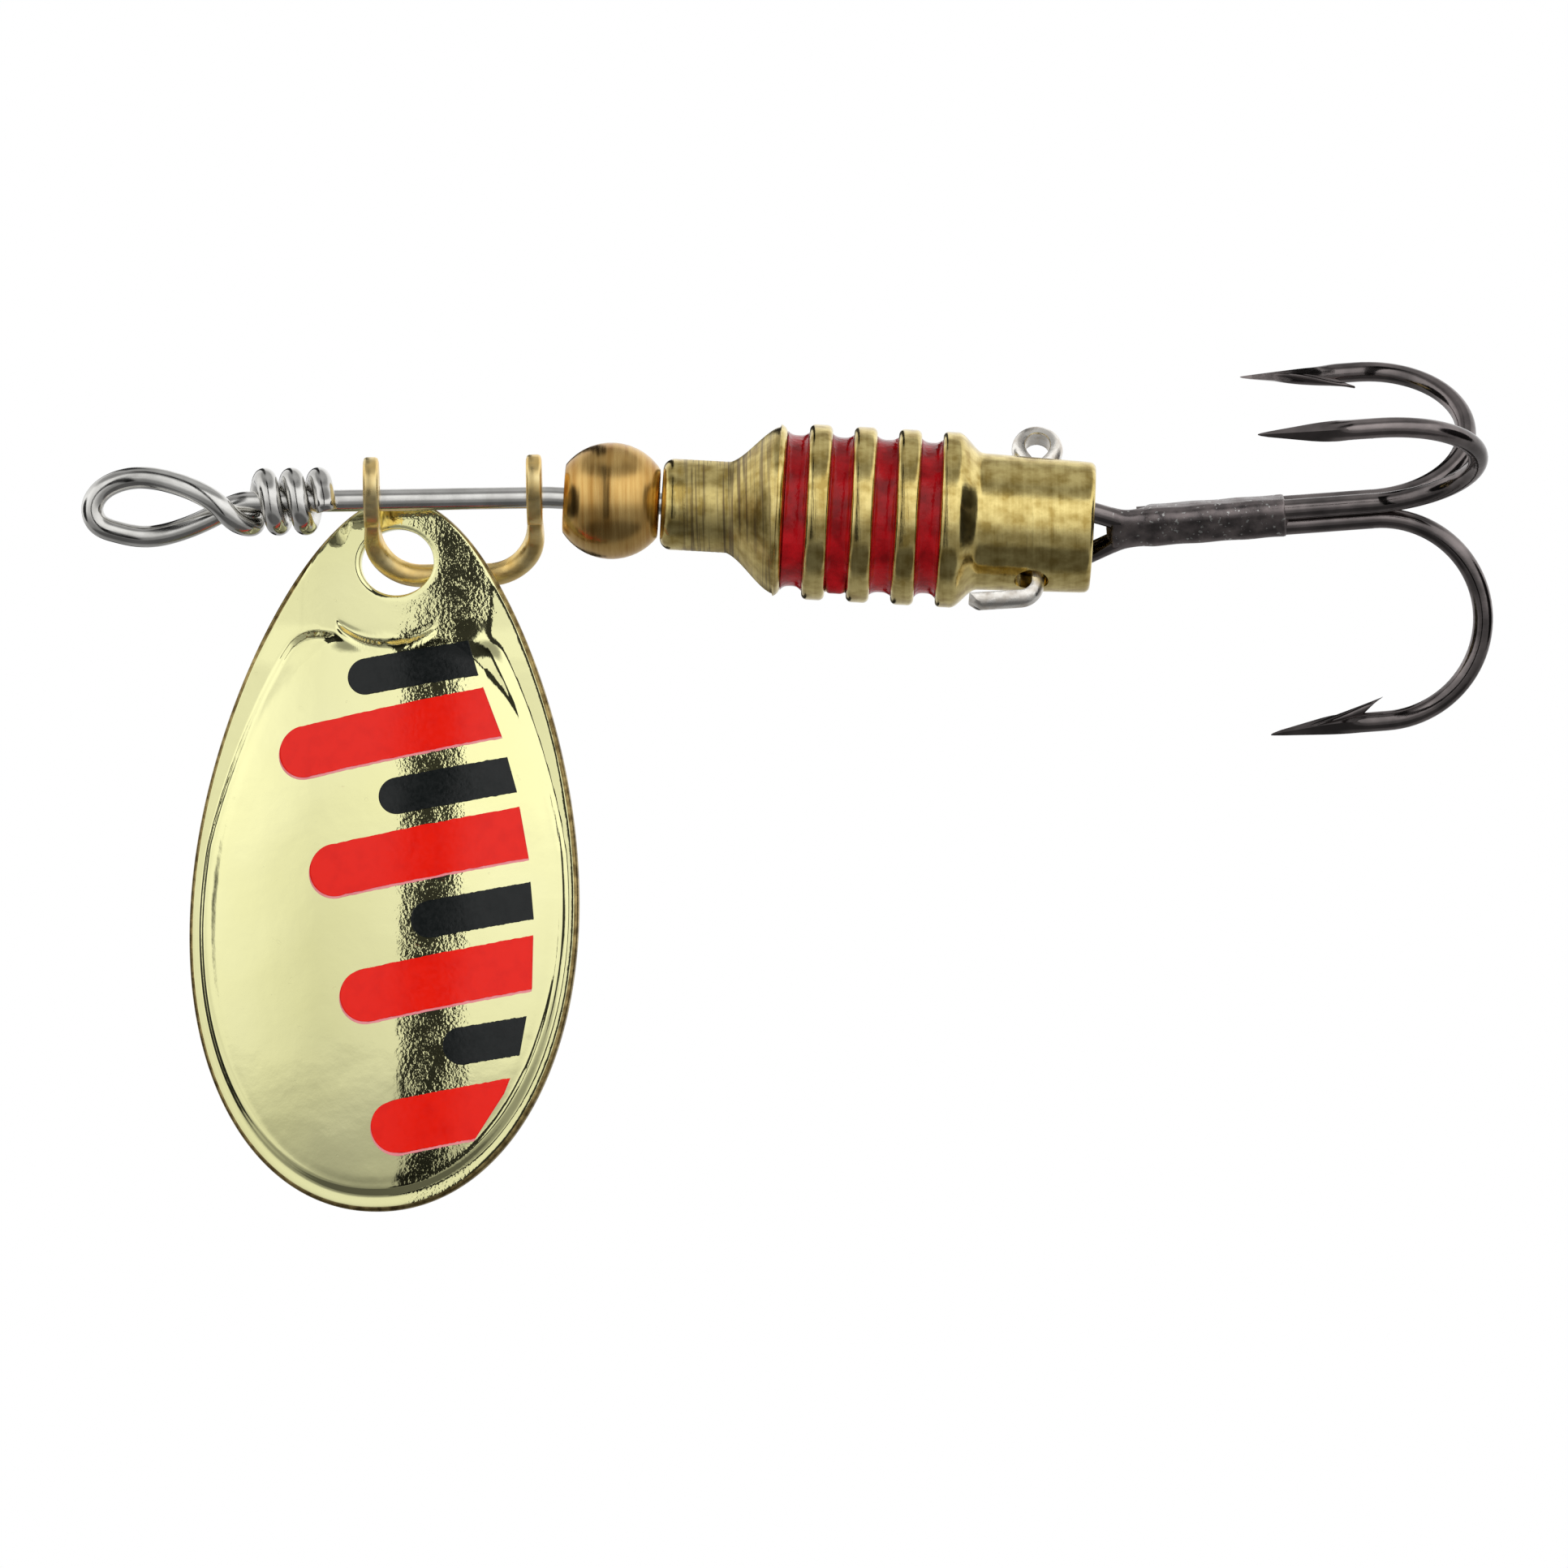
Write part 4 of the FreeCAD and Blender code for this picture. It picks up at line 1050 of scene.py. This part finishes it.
def hook_line(azimuth, ring):
    """Centre line of one hook from its point to the shank, and its radius and facet share at each
    station: spear, straight, half-circle bend, then the strand's start."""
    reach = ring + 2 * hook_bend
    tip = shank_length - point_length
    spear = np.linspace(0.0, 1.0, 42)
    along = tip + (point_length - 0.5) * spear
    bent_radius = hook_radius - 0.005
    radius = np.interp(spear, [0.0, 0.02, 0.10, 0.28, 0.50, 0.75, 0.92, 1.0],
                       [0.018, 0.045, 0.10, 0.19, 0.30, 0.40, 0.432, bent_radius])
    facet = 1 - smooth(spear, 0.55, 0.95)
    out = reach + 0.60 * (hook_radius - radius * (1 + 0.25 * facet))
    turn = np.linspace(0, np.pi, 50)
    bend = xyz(shank_length + hook_bend * np.sin(turn), 0.0, ring + hook_bend + hook_bend * np.cos(turn))
    line = np.vstack([xyz(along, 0.0, out), bend])
    radius = np.concatenate([radius, np.full(len(bend), bent_radius)])
    facet = np.concatenate([facet, np.zeros(len(bend))])
    return roll_about_x(line, -azimuth), radius, facet


def faceted_tube(path, radius, facet, first_normal):
    """A tube whose section goes from a circle to a rounded diamond by the facet share."""
    angle = np.linspace(0, 2 * np.pi, ring_steps, endpoint=False)
    fold = (angle + np.pi / 4) % (np.pi / 2) - np.pi / 4
    diamond = 0.88 / np.cos(np.pi / 4 - np.abs(fold))
    section = 1 + facet[:, None] * (diamond[None] - 1)
    rings = tube_rings(path, radius[:, None] * section, first_normal)
    return closed_surface(place_treble(rings), *place_treble(path[[0, -1]]))


def barb(azimuth, ring):
    """The raised sliver: stations from its root near the point to its tip; each section is a
    narrow oval between a top line that lifts off the wire and a foot line inside it."""
    reach = ring + 2 * hook_bend
    tip = shank_length - point_length
    share = np.linspace(0.0, 1.0, 22)
    top = np.stack([tip + 1.1 + (barb_back - 1.1) * share,
                    reach + 0.05 - (hook_radius + barb_rise + 0.05) * share ** 1.10], axis=-1)
    foot = np.stack([tip + 1.5 + (barb_back - 2.25) * share,
                     reach + 0.10 - 0.36 * share], axis=-1)
    tail = smooth(share, 0.86, 1.0)[:, None]
    foot = foot * (1 - tail) + (top + [-0.10, 0.05]) * tail
    half = 0.05 + 0.30 * np.sin(np.pi * np.clip(share * 0.86 + 0.10, 0, 1)) * (1 - 0.45 * share)
    cosine, sine = circle(20)
    middle = (top + foot) / 2
    line = middle[:, None] + (top - foot)[:, None] / 2 * cosine[None, :, None]
    rings = xyz(line[..., 0], half[:, None] * sine, line[..., 1])
    ends = xyz(middle[[0, -1], 0], 0.0, middle[[0, -1], 1])
    return closed_surface(place_treble(roll_about_x(rings, -azimuth)),
                          *place_treble(roll_about_x(ends, -azimuth)))


def rounded_corner(before, corner, after, radius, count=14):
    """An arc of a radius that joins the two straight lines that meet at a corner."""
    come = (corner - before) / np.linalg.norm(corner - before)
    go = (after - corner) / np.linalg.norm(after - corner)
    turn = math.acos(float(np.clip(come @ go, -1, 1)))
    setback = radius * math.tan(turn / 2)
    axis = np.cross(come, go)
    axis /= np.linalg.norm(axis)
    start = corner - come * setback
    out = np.cross(axis, come)
    steps = np.linspace(0, turn, count)[:, None]
    return start + out * radius * (1 - np.cos(steps)) + come * radius * np.sin(steps)


eye_start = eye_front + eye_half
eye_points = np.array([(eye_start + hook_radius, eye_half, -plane_drop),
                       (eye_side, eye_half, -plane_drop),
                       (eye_side + eye_close * 1.35, side_step, -plane_drop),
                       (shank_length, side_step, -plane_drop)])
arm_line = np.vstack([rounded_corner(*eye_points[:3], eye_close),
                      rounded_corner(*eye_points[1:], eye_close),
                      xyz(np.linspace(shank_length - 9.8, shank_length - 0.05, 24), side_step,
                          -plane_drop)])
eye_turn = np.linspace(-np.pi / 2, np.pi / 2, 33)[1:-1]
eye_arc = xyz(eye_start - eye_half * np.cos(eye_turn), eye_half * np.sin(eye_turn), -plane_drop)
left_hook, left_radius, left_facet = hook_line(math.radians(-120.0), strand_ring)
right_hook, right_radius, right_facet = hook_line(math.radians(120.0), strand_ring)
mirror = np.array([1.0, -1.0, 1.0])
pair_line = np.vstack([left_hook, (arm_line * mirror)[::-1], eye_arc, arm_line, right_hook[::-1]])
plain = len(arm_line) * 2 + len(eye_arc)
pair_radius = np.concatenate([left_radius, np.full(plain, hook_radius), right_radius[::-1]])
pair_facet = np.concatenate([left_facet, np.zeros(plain), right_facet[::-1]])
hook_pair = make_piece("hook_pair_bent", [
    faceted_tube(pair_line, pair_radius, pair_facet, (0.0, 0.5, 0.5)),
    barb(math.radians(-120.0), strand_ring), barb(math.radians(120.0), strand_ring)])
single_hook, single_radius, single_facet = hook_line(0.0, single_rise)
strand = np.linspace([shank_length - 0.05, 0.0, single_rise], [braze_start, 0.0, single_rise], 20)
hook_single = make_piece("hook_single_bent", [
    faceted_tube(np.vstack([single_hook, strand]),
                 np.concatenate([single_radius, np.full(len(strand), hook_radius)]),
                 np.concatenate([single_facet, np.zeros(len(strand))]), (0.0, 1.0, 0.0)),
    barb(0.0, single_rise)])
black_nickel = Finish("black_nickel", (0.090, 0.078, 0.080), 1.0, 0.20)
black_nickel.tone(black_nickel.grain(0.5, 4.0), (0.13, 0.116, 0.114), (0.30, 0.262, 0.256))
drawn = black_nickel.grain(2.5, 6.0, (0.4, 1.6, 1.6))
black_nickel.gloss(drawn, 0.06, 0.16)
black_nickel.bumps(drawn, 0.010, 0.7)
for hook, node in ((hook_pair, "hook_pair"), (hook_single, "hook_single")):
    hook.data.set_sharp_from_angle(angle=math.radians(30))
    hook.data.materials.append(black_nickel.material)
    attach(hook, "treble")
    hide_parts(node)

# ---------------------------------------------------------------------------------------------
# Hook braze: filler drawn between and over the three strands along the middle of the shank, then
# blackened with them.  Its skin is thin, its ends are feathered and a few white specks stay on it.
# ---------------------------------------------------------------------------------------------

braze_skin = 0.06
strand_middles = np.array([(0.0, single_rise), (side_step, -plane_drop), (-side_step, -plane_drop)])
around = np.linspace(0, 2 * np.pi, 72, endpoint=False)
compass = np.stack([np.sin(around), np.cos(around)], axis=-1)
support = (compass @ strand_middles.T).max(axis=1) + hook_radius + braze_skin
hull_reach = np.array([(support / np.maximum(compass @ way, 1e-3))[compass @ way > 1e-2].min()
                       for way in compass])
web_start = 3.15
braze_along = np.concatenate([[web_start - 0.02], np.linspace(web_start, braze_end, 80),
                              [braze_end + 0.02]])
web_high = hook_radius + 0.03
arm_out = np.interp(braze_along, arm_line[:, 0], arm_line[:, 1]) + web_high
oval = (np.abs(compass[None, :, 0] / arm_out[:, None]) ** 3
        + np.abs(compass[None, :, 1] / web_high) ** 3) ** (-1 / 3)
joined = smooth(braze_along, 4.0, 5.2)[:, None]
swell = 0.014 * np.sin(3.1 * braze_along[:, None] + 2 * around[None])
ends = smooth(np.minimum(braze_along - braze_along[0], braze_along[-1] - braze_along), 0.0, 0.25)
core_reach = 0.30
braze_reach = oval * (1 - joined) + hull_reach[None] * joined + swell * joined
braze_reach = core_reach + (braze_reach - core_reach) * (0.10 + 0.90 * ends[:, None])
braze_level = -plane_drop * (1 - joined)
braze_rings = xyz(braze_along[:, None], braze_reach * compass[:, 0],
                  braze_reach * compass[:, 1] + braze_level)
braze_ends = np.array([(braze_along[0], 0.0, -plane_drop), (braze_along[-1], 0.0, 0.0)])
braze = make_piece("hook_braze_run", [closed_surface(place_treble(braze_rings),
                                                     *place_treble(braze_ends))])
filler = Finish("hook_braze", (0.075, 0.070, 0.072), 1.0, 0.30)
rough = filler.grain(1.8, 6.0)
specks = filler.above(filler.grain(5.0, 2.0), 0.66)
dark_filler = filler.shade(rough, (0.17, 0.150, 0.150), (0.32, 0.275, 0.270))
filler.feed(filler.mixed(specks, dark_filler, (0.62, 0.62, 0.60, 1.0)), "Base Color")
filler.gloss(rough, 0.22, 0.42)
filler.bumps(rough, 0.02, 0.9)
braze.data.materials.append(filler.material)
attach(braze, "treble")
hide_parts("hook_braze")
